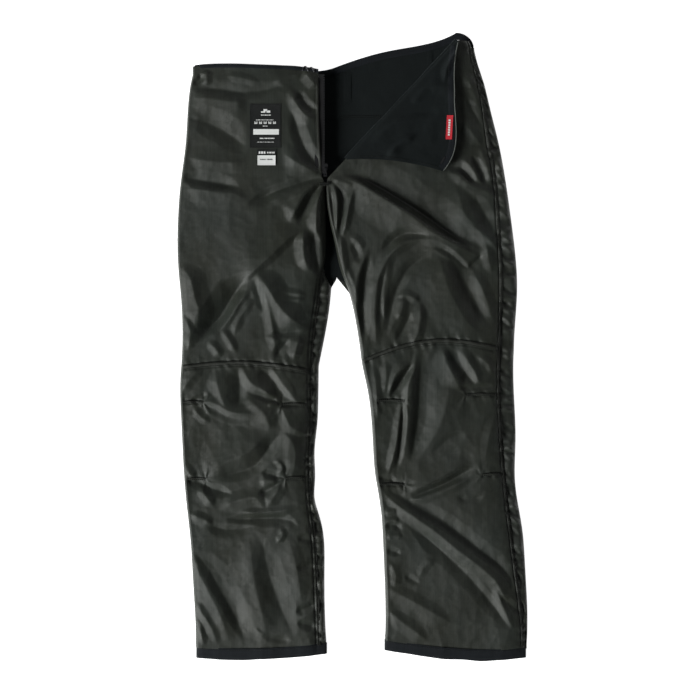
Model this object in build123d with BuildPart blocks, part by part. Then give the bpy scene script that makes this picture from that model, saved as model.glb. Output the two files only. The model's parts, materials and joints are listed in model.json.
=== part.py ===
"""Forestry trousers with chainsaw protection, turned inside out and laid flat on their back.

Everything is in millimetres. +Y runs towards the waist, +X to the viewer's right, and +Z up
off the floor. The origin is on the floor, under the middle of the garment's box. The garment
lies lining side out, so from the floor up each leg is: back lining, back shell, the hollow that
the leg tube leaves, front shell, the protective pack of loose fibre layers, and front lining.
"""

import os
from math import atan2, cos, degrees, hypot, sin

from build123d import *

os.makedirs("parts", exist_ok=True)

# ---- Layers, from the floor up ----
LINING = 1.5  # a lining with its loft, as a plain solid
SHELL = 1.5
CAVITY = 12.0  # height left inside a leg laid flat
PACK_LAYERS = 4
PACK_LAYER = 1.2
PACK_GAP = 0.2
PACK_CLEAR = 0.5  # above and below the pack

BACK_LINING_Z = 0.0
BACK_SHELL_Z = BACK_LINING_Z + LINING
CAVITY_Z = BACK_SHELL_Z + SHELL
FRONT_SHELL_Z = CAVITY_Z + CAVITY
PACK_Z = FRONT_SHELL_Z + SHELL + PACK_CLEAR
PACK_HEIGHT = PACK_LAYERS * PACK_LAYER + (PACK_LAYERS - 1) * PACK_GAP
FRONT_LINING_Z = PACK_Z + PACK_HEIGHT + PACK_CLEAR
FRONT_TOP = FRONT_LINING_Z + LINING

# ---- Where the legs fold, and the gap that each fold leaves ----
LEFT_KNEE_Y = -36.0
RIGHT_KNEE_Y = -8.0
KNEE_GAP = 0.8
YOKE_Y = 422.0
YOKE_GAP = 0.6
CROTCH_Y = 125.0

# ---- Long edges, each from the waist to the hem ----
LEFT_OUTSEAM = [
    (-293, 521), (-300, 493), (-308, 415), (-312, 363), (-319, 311), (-325, 235), (-325, 156),
    (-319, 86), (-317, 1), (-321, -77), (-319, -136), (-315, -219), (-310, -284), (-302, -358),
    (-297, -439), (-293, -506), (-291.5, -579),
]
LEFT_INNER_SEAM = [
    (-63, 508), (-63, 456), (-61, 382), (-57.5, 312), (-56.5, 243), (-57, 186), (-63, 104),
    (-70, 56), (-77, -6), (-79, -60), (-79, -128), (-83, -210), (-82, -265), (-79, -300),
    (-73, -349), (-68, -432), (-65, -506), (-62.5, -579),
]
LEFT_INSEAM = [
    (-40, 109), (-44, 67), (-56, -1), (-64, -40), (-64, -99), (-66, -145), (-71, -195),
    (-70, -247), (-71, -282), (-63, -312), (-56, -340), (-52.5, -413), (-51, -517), (-47.5, -572),
]
RIGHT_INSEAM = [
    (-48, 311), (-45, 245), (-33, 190), (-20.5, 136), (-8, 104), (4.5, 53), (13, 1), (18, -36),
    (27, -77), (34, -128), (38, -191), (42, -240), (50, -284), (55, -336), (58.5, -413),
    (61, -491), (58.6, -565),
]
RIGHT_OUTER_SEAM = [
    (218, 560), (227, 520), (240, 465), (254, 371), (261, 335), (271, 223), (276.5, 123),
    (274, 10), (272, -99), (276, -173), (282, -247), (289, -308), (304, -425), (316, -521),
    (319, -581),
]
RIGHT_OUTSEAM = [
    (225, 557), (232, 526), (243, 493), (256, 441), (269, 389), (284, 311), (295, 234),
    (304, 156), (306, 114), (302, 40), (299, -25), (300, -90), (303, -173), (302, -250),
    (306, -284), (315, -336), (321, -413), (325, -496), (323, -579),
]

# ---- Edges across the garment, each from left to right ----
FRONT_WAIST = [(-293, 521), (-214, 523), (-162, 521), (-92, 517.5), (-63, 513)]
BACK_WAIST_LEFT = [(-293, 521), (-170, 517), (-90, 512), (-55, 513), (-27, 521)]
BACK_WAIST_RIGHT = [(-27, 521), (1, 531), (61, 548), (127, 560), (167, 571), (193, 583.5)]
WAIST_CORNER = [(193, 583.5), (207, 580), (219, 571), (225, 557)]
LEFT_HEM = [(-291.5, -579), (-171, -581.5), (-47.5, -572)]
RIGHT_HEM = [(58.6, -565), (134, -576), (262, -583.5), (323, -579)]
CENTRE_BACK = [(-27, 521), (-28, 330), (-30, CROTCH_Y)]

# ---- The fly and the corner of the right front that is folded back ----
FLY_BOTTOM = (-46, 312)
FOLD_TOP = (196, 570)
FLAP_FLY_EDGE = [(-12, 345), (70, 343), (125, 334), (166, 323)]
FLAP_WAIST_EDGE = [(166, 323), (184, 352), (189, 428), (187, 500), (195, 563)]
FLAP_Z = FRONT_TOP + 3.0  # room under the flap for its own row of zip teeth
FLAP_LINING = 1.0
FLAP_SHELL_Z = FLAP_Z + FLAP_LINING
FLAP_TOP = FLAP_SHELL_Z + SHELL
BINDING_HEIGHT = 14.0  # the waist binding's depth on the front
BINDING_THICK = 1.0
FLAP_BINDING_WIDTH = 9.0

# ---- Small parts ----
HEM_BAND = 22.0
SEAM_WALL = 8.0  # a felled seam's width inside the leg
LIP = 1.5
PACK_INSET = 14.0
PACK_ABOVE_HEM = 60.0
PACK_BELOW_WAIST = 45.0
TAPE_THICK = 0.8
TOOTH_PITCH = 3.0
TOOTH = (2.4, 1.4, 2.0)
DART_WIDTH = 3.0
DART_THICK = 1.0


def along(line, y):
    """The x where a long edge crosses a height y."""
    for (x0, y0), (x1, y1) in zip(line, line[1:]):
        if y1 <= y <= y0:
            return x0 + (x1 - x0) * (y0 - y) / (y0 - y1)
    return line[0][0] if y > line[0][1] else line[-1][0]


def stretch(line, top, bottom, inset=0.0):
    """The part of a long edge between two heights, moved sideways by inset."""
    closest = 4.0  # a point nearer than this to an end would kink the spline
    inside = [(x, y) for x, y in line if bottom + closest < y < top - closest]
    ends = (along(line, top), top), (along(line, bottom), bottom)
    return [(x + inset, y) for x, y in (ends[0], *inside, ends[1])]


def shifted(line, dx=0.0, dy=0.0):
    """A line moved as a whole."""
    return [(x + dx, y + dy) for x, y in line]


def backwards(line):
    """The same line from its other end."""
    return list(reversed(line))


def outline(*sides):
    """Draws a closed outline: two points make a line, more make a spline, gaps are bridged."""
    for number, side in enumerate(sides):
        if len(side) > 2:
            Spline(*side)
        else:
            Line(*side)
        start = sides[(number + 1) % len(sides)][0]
        if hypot(start[0] - side[-1][0], start[1] - side[-1][1]) > 0.001:
            Line(side[-1], start)


def save(made, name):
    """Names a finished piece and writes it."""
    made.part.label = name
    export_step(made.part, f"parts/{name}.step")


def panel(name, bottom, thickness, *sides):
    """A flat cut piece of cloth, as a plain closed solid."""
    with BuildPart() as made:
        with BuildSketch(Plane.XY.offset(bottom)):
            with BuildLine():
                outline(*sides)
            make_face()
        extrude(amount=thickness)
    save(made, name)


def layered(name, bottom, *sides):
    """A protective pack: loose layers of the same cut, each its own solid."""
    with BuildPart() as made:
        for layer in range(PACK_LAYERS):
            height = bottom + layer * (PACK_LAYER + PACK_GAP)
            with BuildSketch(Plane.XY.offset(height)):
                with BuildLine():
                    outline(*sides)
                make_face()
            extrude(amount=PACK_LAYER)
    save(made, name)


def turned_edge(name, top, depth, lip_from, edge, inward):
    """A turned-up hem or binding: a strip along an edge, with a lip that closes the layers' end."""
    inner = shifted(edge, dy=inward * depth)
    lip = shifted(edge, dy=inward * LIP)
    with BuildPart() as made:
        with BuildSketch(Plane.XY.offset(top - LINING)):
            with BuildLine():
                outline(edge, backwards(inner))
            make_face()
        extrude(amount=LINING)
        with BuildSketch(Plane.XY.offset(lip_from)):
            with BuildLine():
                outline(edge, backwards(lip))
            make_face()
        extrude(amount=top - lip_from)
    save(made, name)


# ---- Front panels: shell, pack and lining, above and below each knee ----
left_knee_top = LEFT_KNEE_Y + KNEE_GAP / 2
left_knee_low = LEFT_KNEE_Y - KNEE_GAP / 2
right_knee_top = RIGHT_KNEE_Y + KNEE_GAP / 2
right_knee_low = RIGHT_KNEE_Y - KNEE_GAP / 2
left_band_top = shifted(LEFT_HEM, dy=HEM_BAND)
right_band_top = shifted(RIGHT_HEM, dy=HEM_BAND)
front_top_edge = shifted(FRONT_WAIST, dy=-BINDING_HEIGHT)


def left_thigh(name, bottom, thickness, trim=0.0):
    """A piece of the left front, from the waist binding to the knee."""
    top_left, top_right = front_top_edge[0][1] - trim, front_top_edge[-1][1] - trim
    panel(
        name, bottom, thickness,
        stretch(LEFT_OUTSEAM, top_left, left_knee_top, trim),
        backwards(stretch(LEFT_INNER_SEAM, top_right, left_knee_top, -trim)),
    )


def left_lower(name, bottom, thickness):
    """A piece of the left front, from the knee to the hem band."""
    low_left, low_right = left_band_top[0][1], left_band_top[-1][1]
    panel(
        name, bottom, thickness,
        stretch(LEFT_OUTSEAM, left_knee_low, low_left),
        left_band_top[:-1] + [(along(LEFT_INNER_SEAM, low_right), low_right)],
        backwards(stretch(LEFT_INNER_SEAM, left_knee_low, low_right)),
    )


def right_thigh(name, bottom, thickness):
    """A piece of the right front, cut along the fold of the fly corner."""
    panel(
        name, bottom, thickness,
        [FLY_BOTTOM, FOLD_TOP],
        [FOLD_TOP, (214, 568)],
        stretch(RIGHT_OUTER_SEAM, 558, right_knee_top),
        backwards(stretch(RIGHT_INSEAM, 306, right_knee_top)),
    )


def right_lower(name, bottom, thickness):
    """A piece of the right front, from the knee to the hem band."""
    low_left, low_right = right_band_top[0][1], right_band_top[-1][1]
    panel(
        name, bottom, thickness,
        stretch(RIGHT_INSEAM, right_knee_low, low_left),
        right_band_top[:-1] + [(along(RIGHT_OUTER_SEAM, low_right), low_right)],
        backwards(stretch(RIGHT_OUTER_SEAM, right_knee_low, low_right)),
    )


left_thigh("left_thigh_lining", FRONT_LINING_Z, LINING)
left_thigh("left_thigh_shell", FRONT_SHELL_Z, SHELL)
left_lower("left_lower_lining", FRONT_LINING_Z, LINING)
left_lower("left_lower_shell", FRONT_SHELL_Z, SHELL)
right_thigh("right_thigh_lining", FRONT_LINING_Z, LINING)
right_thigh("right_thigh_shell", FRONT_SHELL_Z, SHELL)
right_lower("right_lower_lining", FRONT_LINING_Z, LINING)
right_lower("right_lower_shell", FRONT_SHELL_Z, SHELL)

layered(
    "left_thigh_pack", PACK_Z,
    stretch(LEFT_OUTSEAM, 521 - PACK_BELOW_WAIST, left_knee_top, PACK_INSET),
    backwards(stretch(LEFT_INNER_SEAM, 513 - PACK_BELOW_WAIST, left_knee_top, -PACK_INSET)),
)
layered(
    "left_lower_pack", PACK_Z,
    stretch(LEFT_OUTSEAM, left_knee_low, -579 + PACK_ABOVE_HEM, PACK_INSET),
    backwards(stretch(LEFT_INNER_SEAM, left_knee_low, -579 + PACK_ABOVE_HEM, -PACK_INSET)),
)
layered(
    "right_thigh_pack", PACK_Z,
    stretch(RIGHT_INSEAM, 250, right_knee_top, PACK_INSET),
    backwards(stretch(RIGHT_OUTER_SEAM, 500, right_knee_top, -PACK_INSET)),
)
layered(
    "right_lower_pack", PACK_Z,
    stretch(RIGHT_INSEAM, right_knee_low, -565 + PACK_ABOVE_HEM, PACK_INSET),
    backwards(stretch(RIGHT_OUTER_SEAM, right_knee_low, -565 + PACK_ABOVE_HEM, -PACK_INSET)),
)

# ---- Back panels: halves that meet at the centre back seam, with a yoke in the shell ----
half_gap = YOKE_GAP / 2
seam_top = BACK_WAIST_LEFT[-1][1] - BINDING_HEIGHT
seam_low = CENTRE_BACK[-1][1]
left_seam = shifted(CENTRE_BACK, dx=-half_gap)
right_seam = shifted(CENTRE_BACK, dx=half_gap)
left_back_top = shifted(BACK_WAIST_LEFT[:-1], dy=-BINDING_HEIGHT)
left_back_top.append((along(left_seam, seam_top), seam_top))
right_back_top = [(along(right_seam, seam_top), seam_top)]
right_back_top += shifted(BACK_WAIST_RIGHT[1:], dy=-BINDING_HEIGHT)
right_back_corner = shifted(WAIST_CORNER, dy=-BINDING_HEIGHT)
left_corner_y = left_back_top[0][1]
right_corner_y = right_back_corner[-1][1]

panel(
    "left_back_lining", BACK_LINING_Z, LINING,
    stretch(LEFT_OUTSEAM, left_corner_y, left_knee_top),
    backwards(stretch(LEFT_INSEAM, LEFT_INSEAM[0][1], left_knee_top)),
    backwards(stretch(left_seam, seam_top, seam_low)),
    backwards(left_back_top),
)
panel(
    "right_back_lining", BACK_LINING_Z, LINING,
    stretch(right_seam, seam_top, seam_low),
    stretch(RIGHT_INSEAM, CROTCH_Y, right_knee_top),
    backwards(stretch(RIGHT_OUTSEAM, right_corner_y, right_knee_top)),
    backwards(right_back_corner),
    backwards(right_back_top),
)
panel(
    "left_yoke_shell", BACK_SHELL_Z, SHELL,
    stretch(LEFT_OUTSEAM, left_corner_y, YOKE_Y + half_gap),
    backwards(stretch(left_seam, seam_top, YOKE_Y + half_gap)),
    backwards(left_back_top),
)
panel(
    "right_yoke_shell", BACK_SHELL_Z, SHELL,
    stretch(right_seam, seam_top, YOKE_Y + half_gap),
    backwards(stretch(RIGHT_OUTSEAM, right_corner_y, YOKE_Y + half_gap)),
    backwards(right_back_corner),
    backwards(right_back_top),
)
panel(
    "left_back_shell", BACK_SHELL_Z, SHELL,
    stretch(LEFT_OUTSEAM, YOKE_Y - half_gap, left_knee_top),
    backwards(stretch(LEFT_INSEAM, LEFT_INSEAM[0][1], left_knee_top)),
    backwards(stretch(left_seam, YOKE_Y - half_gap, seam_low)),
)
panel(
    "right_back_shell", BACK_SHELL_Z, SHELL,
    stretch(right_seam, YOKE_Y - half_gap, seam_low),
    stretch(RIGHT_INSEAM, CROTCH_Y, right_knee_top),
    backwards(stretch(RIGHT_OUTSEAM, YOKE_Y - half_gap, right_knee_top)),
)

for layer_name, layer_z, layer_thick in (
    ("lining", BACK_LINING_Z, LINING),
    ("shell", BACK_SHELL_Z, SHELL),
):
    panel(
        f"left_lower_back_{layer_name}", layer_z, layer_thick,
        stretch(LEFT_OUTSEAM, left_knee_low, left_band_top[0][1]),
        left_band_top[:-1] + [(along(LEFT_INSEAM, -550), -550)],
        backwards(stretch(LEFT_INSEAM, left_knee_low, -550)),
    )
    panel(
        f"right_lower_back_{layer_name}", layer_z, layer_thick,
        stretch(RIGHT_INSEAM, right_knee_low, right_band_top[0][1]),
        right_band_top,
        backwards(stretch(RIGHT_OUTSEAM, right_knee_low, right_band_top[-1][1])),
    )

# ---- Felled seams: the walls inside each leg tube, which join the front to the back ----
for wall_name, wall_line, wall_side, wall_top, wall_low in (
    ("left_outseam_upper", LEFT_OUTSEAM, 1, 500, left_knee_top),
    ("left_outseam_lower", LEFT_OUTSEAM, 1, left_knee_low, -557),
    ("left_inseam_upper", LEFT_INSEAM, -1, 109, left_knee_top),
    ("left_inseam_lower", LEFT_INSEAM, -1, left_knee_low, -550),
    ("right_inseam_upper", RIGHT_INSEAM, 1, 136, right_knee_top),
    ("right_inseam_lower", RIGHT_INSEAM, 1, right_knee_low, -543),
    ("right_outseam_upper", RIGHT_OUTSEAM, -1, 540, right_knee_top),
    ("right_outseam_lower", RIGHT_OUTSEAM, -1, right_knee_low, -557),
):
    near, far = wall_side * 1.0, wall_side * (1.0 + SEAM_WALL)
    panel(
        wall_name, CAVITY_Z, CAVITY,
        stretch(wall_line, wall_top, wall_low, near),
        backwards(stretch(wall_line, wall_top, wall_low, far)),
    )

# ---- The back lining's edge that rolls to the front beside two of the seams ----
ROLL_CLEAR = 0.6
for roll_name, roll_inner, roll_outer, roll_top, roll_low, roll_side in (
    ("left_inseam_roll_upper", LEFT_INNER_SEAM, LEFT_INSEAM, 108, left_knee_top, 1),
    ("left_inseam_roll_lower", LEFT_INNER_SEAM, LEFT_INSEAM, left_knee_low, -548, 1),
    ("right_outseam_roll_upper", RIGHT_OUTER_SEAM, RIGHT_OUTSEAM, 554, right_knee_top, 1),
    ("right_outseam_roll_lower", RIGHT_OUTER_SEAM, RIGHT_OUTSEAM, right_knee_low, -555, 1),
):
    panel(
        roll_name, FRONT_SHELL_Z, FRONT_TOP - FRONT_SHELL_Z,
        stretch(roll_inner, roll_top, roll_low, roll_side * ROLL_CLEAR),
        backwards(stretch(roll_outer, roll_top, roll_low)),
    )

# ---- Hem bands, each one ring round a leg's end, and the waist bindings ----
HEM_DEPTH = HEM_BAND - 0.5  # leaves a gap to the cloth above
HEM_SIDE = 2.5
for hem_name, hem_edge in (("left_hem_band", LEFT_HEM), ("right_hem_band", RIGHT_HEM)):
    hem_lip = shifted(hem_edge, dy=LIP)
    hem_inner = shifted(hem_edge, dy=HEM_DEPTH)
    with BuildPart() as hem:
        for hem_z, hem_thick, hem_far in (
            (BACK_LINING_Z, LINING + SHELL, hem_inner),
            (FRONT_SHELL_Z, FRONT_TOP - FRONT_SHELL_Z, hem_lip),
            (FRONT_LINING_Z, LINING, hem_inner),
        ):
            with BuildSketch(Plane.XY.offset(hem_z)):
                with BuildLine():
                    outline(hem_edge, backwards(hem_far))
                make_face()
            extrude(amount=hem_thick)
        for (side_x, side_y), way in ((hem_edge[0], 1), (hem_edge[-1], -1)):
            side_line = [(side_x, side_y), (side_x, side_y + LIP)]
            with BuildSketch(Plane.XY.offset(CAVITY_Z)):
                with BuildLine():
                    outline(side_line, backwards(shifted(side_line, dx=way * HEM_SIDE)))
                make_face()
            extrude(amount=CAVITY)
    save(hem, hem_name)
turned_edge("waist_binding_front", FRONT_TOP, BINDING_HEIGHT - 0.5, FRONT_SHELL_Z, FRONT_WAIST, -1)

back_waist = [BACK_WAIST_LEFT, BACK_WAIST_RIGHT, WAIST_CORNER]
back_waist_low = [shifted(line, dy=0.5 - BINDING_HEIGHT) for line in back_waist]
panel(
    "waist_binding_back", BACK_LINING_Z, LINING + SHELL,
    *back_waist,
    *[backwards(line) for line in backwards(back_waist_low)],
)

# ---- Belt loops on the back's shell, which shows through the open fly ----
LOOP_WIDTH = 10.0
LOOP_LENGTH = 54.0
LOOP_RISE = 3.4
LOOP_THICK = 1.2
LOOP_FOOT = 8.0
LOOP_MARGIN = 17.0  # from the waist edge to the loop's upper foot
with BuildPart() as loops:
    for loop_x, waist_y, lean in ((-185, 518, 0), (-14, 526, 6), (141.5, 570, 2)):
        top_y = waist_y - LOOP_MARGIN
        loop_plane = Plane.XY.offset(BACK_SHELL_Z + SHELL).move(
            Location((loop_x, top_y, 0), (0, 0, lean))
        )
        with BuildSketch(loop_plane):
            with Locations((0, -LOOP_LENGTH / 2)):
                Rectangle(LOOP_WIDTH, LOOP_LENGTH)
        extrude(amount=LOOP_RISE)
        with BuildSketch(loop_plane):
            with Locations((0, -LOOP_LENGTH / 2)):
                Rectangle(LOOP_WIDTH + 1, LOOP_LENGTH - 2 * LOOP_FOOT)
        extrude(amount=LOOP_RISE - LOOP_THICK, mode=Mode.SUBTRACT)
        for foot_y in (-(LOOP_FOOT - LOOP_THICK) / 2, -LOOP_LENGTH + (LOOP_FOOT - LOOP_THICK) / 2):
            with BuildSketch(loop_plane.offset(LOOP_THICK)):
                with Locations((0, foot_y)):
                    Rectangle(LOOP_WIDTH + 1, LOOP_FOOT - LOOP_THICK)
            extrude(amount=LOOP_RISE, mode=Mode.SUBTRACT)
save(loops, "belt_loops")

# ---- Knee seams and darts, which lie on the front lining ----
KNEE_SEAM_WIDTH = 7.0
KNEE_SEAM_THICK = 0.8
for seam_name, seam_left, seam_right, seam_y in (
    ("left_knee_seam", LEFT_OUTSEAM, LEFT_INNER_SEAM, left_knee_low),
    ("right_knee_seam", RIGHT_INSEAM, RIGHT_OUTER_SEAM, right_knee_low),
):
    seam_margin = 4.0
    x_left = along(seam_left, seam_y) + seam_margin
    x_right = along(seam_right, seam_y) - seam_margin
    with BuildPart() as knee_seam:
        with BuildSketch(Plane.XY.offset(FRONT_TOP)):
            with Locations(((x_left + x_right) / 2, seam_y - KNEE_SEAM_WIDTH / 2)):
                RectangleRounded(x_right - x_left, KNEE_SEAM_WIDTH, 1.5)
        extrude(amount=KNEE_SEAM_THICK)
    save(knee_seam, seam_name)

LEFT_DARTS = [(-320, -101, -276, -106), (-80, -112, -132, -104), (-312, -248, -272, -244),
              (-82, -242, -124, -246)]
RIGHT_DARTS = [(38, -98, 96, -104), (272, -92, 208, -88), (44, -254, 96, -258),
               (282, -240, 238, -236)]
for dart_name, darts in (("left_knee_darts", LEFT_DARTS), ("right_knee_darts", RIGHT_DARTS)):
    with BuildPart() as dart_group:
        for x0, y0, x1, y1 in darts:
            margin = 6.0 if x1 > x0 else -6.0
            middle = ((x0 + margin + x1) / 2, (y0 + y1) / 2)
            turn = degrees(atan2(y1 - y0, x1 - x0 - margin))
            with BuildSketch(Plane.XY.offset(FRONT_TOP)):
                with Locations(Location((*middle, 0), (0, 0, turn))):
                    SlotOverall(hypot(x1 - x0 - margin, y1 - y0), DART_WIDTH)
            extrude(amount=DART_THICK)
    save(dart_group, dart_name)

# ---- The folded fly corner: lining below, shell above, binding on its waist edge ----
fold_x, fold_y = FOLD_TOP[0] - FLY_BOTTOM[0], FOLD_TOP[1] - FLY_BOTTOM[1]
fold_length = hypot(fold_x, fold_y)
fold_along = (fold_x / fold_length, fold_y / fold_length)
fold_away = (fold_along[1], -fold_along[0])  # level, towards the side that the flap lies on


def past_fold(point, distance):
    """A point moved away from the fold, onto the flap."""
    return point[0] + fold_away[0] * distance, point[1] + fold_away[1] * distance


flap_low = past_fold(FLAP_FLY_EDGE[0], 0.6)
flap_high = past_fold((193.5, 567.3), 0.6)
for cloth_name, cloth_z, cloth_thick in (
    ("fly_flap_lining", FLAP_Z, FLAP_LINING),
    ("fly_flap_shell", FLAP_SHELL_Z, SHELL),
):
    panel(
        cloth_name, cloth_z, cloth_thick,
        [flap_low] + FLAP_FLY_EDGE[1:], FLAP_WAIST_EDGE, [FLAP_WAIST_EDGE[-1], flap_high],
        [flap_high, flap_low],
    )
flap_binding_edge = FLAP_WAIST_EDGE[1:]
panel(
    "fly_flap_binding", FLAP_TOP, BINDING_THICK,
    shifted(flap_binding_edge, dx=-0.5),
    backwards(shifted(flap_binding_edge[:-1], dx=-FLAP_BINDING_WIDTH) + [(188, 556)]),
)

# ---- Fly zip: two tapes with their teeth, a slider on the left chain and its pull ----
ZIP_LOW, ZIP_HIGH = 320.0, 503.0
ZIP_Z = FRONT_LINING_Z - TAPE_THICK - 0.1  # the tape's underside; it is sewn in under the lining
CHAIN_X = -53.0
TAPE_LEFT = -70.0
TAPE_RIGHT = CHAIN_X - TOOTH[0] / 2
with BuildPart() as left_tape:
    with BuildSketch(Plane.XY.offset(ZIP_Z)):
        with Locations(((TAPE_LEFT + TAPE_RIGHT) / 2, (ZIP_LOW + ZIP_HIGH) / 2)):
            Rectangle(TAPE_RIGHT - TAPE_LEFT, ZIP_HIGH - ZIP_LOW)
    extrude(amount=TAPE_THICK)
save(left_tape, "zip_tape_left")

TEETH_LOW, TEETH_HIGH = ZIP_LOW + 4, ZIP_HIGH - 4
tooth_count = int((TEETH_HIGH - TEETH_LOW) / TOOTH_PITCH)
tooth_z = ZIP_Z + TAPE_THICK / 2
with BuildPart() as left_teeth:
    with Locations((CHAIN_X, (TEETH_LOW + TEETH_HIGH) / 2, tooth_z)):
        with GridLocations(TOOTH_PITCH, TOOTH_PITCH, 1, tooth_count):
            Box(*TOOTH)
    left_teeth_edges = left_teeth.edges().filter_by(Axis.Z)
    chamfer(left_teeth_edges, 0.3)
save(left_teeth, "zip_teeth_left")

# The right tape and teeth are turned in under the flap, along its fly edge.
RIGHT_TAPE_Z = FRONT_TOP + 0.8
TAPE_SETBACK = 1.5
TAPE_WIDTH = 5.0
tape_line = [(2, 346)] + FLAP_FLY_EDGE[1:-1] + [(160, 325)]
tape_edge = shifted(tape_line, dy=TAPE_SETBACK)
tape_inner = shifted(tape_line, dy=TAPE_SETBACK + TAPE_WIDTH)
panel("zip_tape_right", RIGHT_TAPE_Z, TAPE_THICK, tape_edge, backwards(tape_inner))
with BuildPart() as right_teeth:
    with BuildLine() as right_chain:
        Spline(*shifted(tape_inner, dy=TOOTH[0] / 2 + 0.1))
    chain_edge = right_chain.edges()[0]
    right_count = int(chain_edge.length / TOOTH_PITCH) - 1
    for number in range(right_count):
        share = (number + 0.75) * TOOTH_PITCH / chain_edge.length
        spot = chain_edge.position_at(share)
        heading = chain_edge.tangent_at(share)
        turn = degrees(atan2(heading.Y, heading.X)) + 90
        with Locations(Location((spot.X, spot.Y, RIGHT_TAPE_Z + TAPE_THICK / 2), (0, 0, turn))):
            Box(*TOOTH)
save(right_teeth, "zip_teeth_right")

# Slider: two plates joined by a post between the chains, flanges at the sides, lugs on top.
SLIDER_LENGTH = 12.0
SLIDER_WIDTH = 9.6
SLIDER_PLATE = 1.1
SLIDER_Y = ZIP_LOW + 12.0
SLIDER_X = CHAIN_X + 2.2
CHANNEL = TOOTH[2] + 0.8
slider_mid = tooth_z
PIN_R = 0.7
PIN_Y = SLIDER_Y - 3.5
PIN_Z = slider_mid + CHANNEL / 2 + SLIDER_PLATE + 1.6
LUG_GAP = 3.4
with BuildPart() as slider:
    for plate_z in (slider_mid + CHANNEL / 2, slider_mid - CHANNEL / 2 - SLIDER_PLATE):
        with BuildSketch(Plane.XY.offset(plate_z)):
            with Locations((SLIDER_X, SLIDER_Y)):
                RectangleRounded(SLIDER_WIDTH, SLIDER_LENGTH, 2.5)
        extrude(amount=SLIDER_PLATE)
    with BuildSketch(Plane.XY.offset(slider_mid - CHANNEL / 2)):
        with Locations((SLIDER_X + 0.4, SLIDER_Y + 3.2)):
            Rectangle(1.0, 4.0)
    extrude(amount=CHANNEL)
    for lug_side in (-1, 1):
        lug_x = SLIDER_X + lug_side * (LUG_GAP / 2 + 0.5)
        with BuildSketch(Plane.XY.offset(slider_mid + CHANNEL / 2 + SLIDER_PLATE)):
            with Locations((lug_x, PIN_Y)):
                Rectangle(1.0, 3.2)
        extrude(amount=2.6)
    with BuildSketch(Plane.YZ.offset(SLIDER_X - LUG_GAP / 2 - 0.2)):
        with Locations((PIN_Y, PIN_Z)):
            Circle(PIN_R)
    extrude(amount=LUG_GAP + 0.4)
save(slider, "zip_slider")

# Pull: an eye round the slider's pin, and a tab that tapers away from it.
PULL_LENGTH = 17.0
PULL_WIDTH = 6.0
EYE_R = 1.5
with BuildPart() as pull:
    eye_width = LUG_GAP - 0.4
    with BuildSketch(Plane.YZ.offset(SLIDER_X - eye_width / 2)):
        with Locations((PIN_Y, PIN_Z)):
            Circle(EYE_R)
            Circle(PIN_R + 0.08, mode=Mode.SUBTRACT)
    extrude(amount=eye_width)
    with BuildSketch(Plane.XY.offset(PIN_Z - 0.5)):
        with BuildLine():
            Polyline(
                (SLIDER_X - eye_width / 2, PIN_Y - 1.2),
                (SLIDER_X - PULL_WIDTH / 2, PIN_Y - 9),
                (SLIDER_X - PULL_WIDTH / 2, PIN_Y - PULL_LENGTH + 2),
                (SLIDER_X + PULL_WIDTH / 2, PIN_Y - PULL_LENGTH + 2),
                (SLIDER_X + PULL_WIDTH / 2, PIN_Y - 9),
                (SLIDER_X + eye_width / 2, PIN_Y - 1.2),
                close=True,
            )
        make_face()
        with Locations((SLIDER_X, PIN_Y - PULL_LENGTH + 6)):
            Circle(1.4, mode=Mode.SUBTRACT)
    extrude(amount=1.0)
save(pull, "zip_pull")

# Stops at the ends of the left chain.
with BuildPart() as stops:
    for stop_y in (ZIP_LOW + 1.8, ZIP_HIGH - 1.8):
        with Locations((CHAIN_X, stop_y, tooth_z)):
            Box(TOOTH[0], 3.0, TOOTH[2])
    fillet(stops.edges().filter_by(Axis.Y), 0.4)
save(stops, "zip_stops")

# ---- Bar tack that closes the fly's lower end, from one front to the other ----
with BuildPart() as bar_tack:
    with BuildSketch(Plane.XY.offset(FRONT_TOP)):
        with Locations((-53, 300)):
            SlotOverall(26.0, 6.0)
    extrude(amount=0.8)
save(bar_tack, "fly_bar_tack")

# ---- Waist hook on the left front and its bar on the flap ----
HOOK_X, HOOK_WIDTH = -83.0, 16.0
with BuildPart() as hook:
    with BuildSketch(Plane.XY.offset(FRONT_TOP)):
        with Locations((HOOK_X, 511)):
            RectangleRounded(HOOK_WIDTH, 8.0, 1.5)
    extrude(amount=0.9)
    for prong in (-1, 1):
        with BuildSketch(Plane.XY.offset(FRONT_TOP)):
            with Locations((HOOK_X + prong * 4.5, 517.5)):
                SlotOverall(9.0, 3.0, rotation=90)
        extrude(amount=0.9)
    fillet(hook.faces().sort_by(Axis.Z)[-1].edges(), 0.3)
save(hook, "waist_hook")
with BuildPart() as bar:
    with BuildSketch(Plane.XY.offset(FLAP_TOP)):
        with Locations(Location((166, 343, 0), (0, 0, 60))):
            SlotOverall(14.0, 3.6)
    extrude(amount=1.0)
save(bar, "waist_bar")

# ---- Labels ----
LABEL_THICK = 0.7
with BuildPart() as care_label:
    with BuildSketch(Plane.XY.offset(FRONT_TOP)):
        with Locations((-161.5, 407.5)):
            RectangleRounded(57, 81, 2)
    extrude(amount=LABEL_THICK)
save(care_label, "care_label")
with BuildPart() as size_label:
    with BuildSketch(Plane.XY.offset(FRONT_TOP + 0.2)):
        with Locations((-159, 349)):
            RectangleRounded(35, 30, 1.5)
    extrude(amount=LABEL_THICK)
save(size_label, "size_label")

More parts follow.
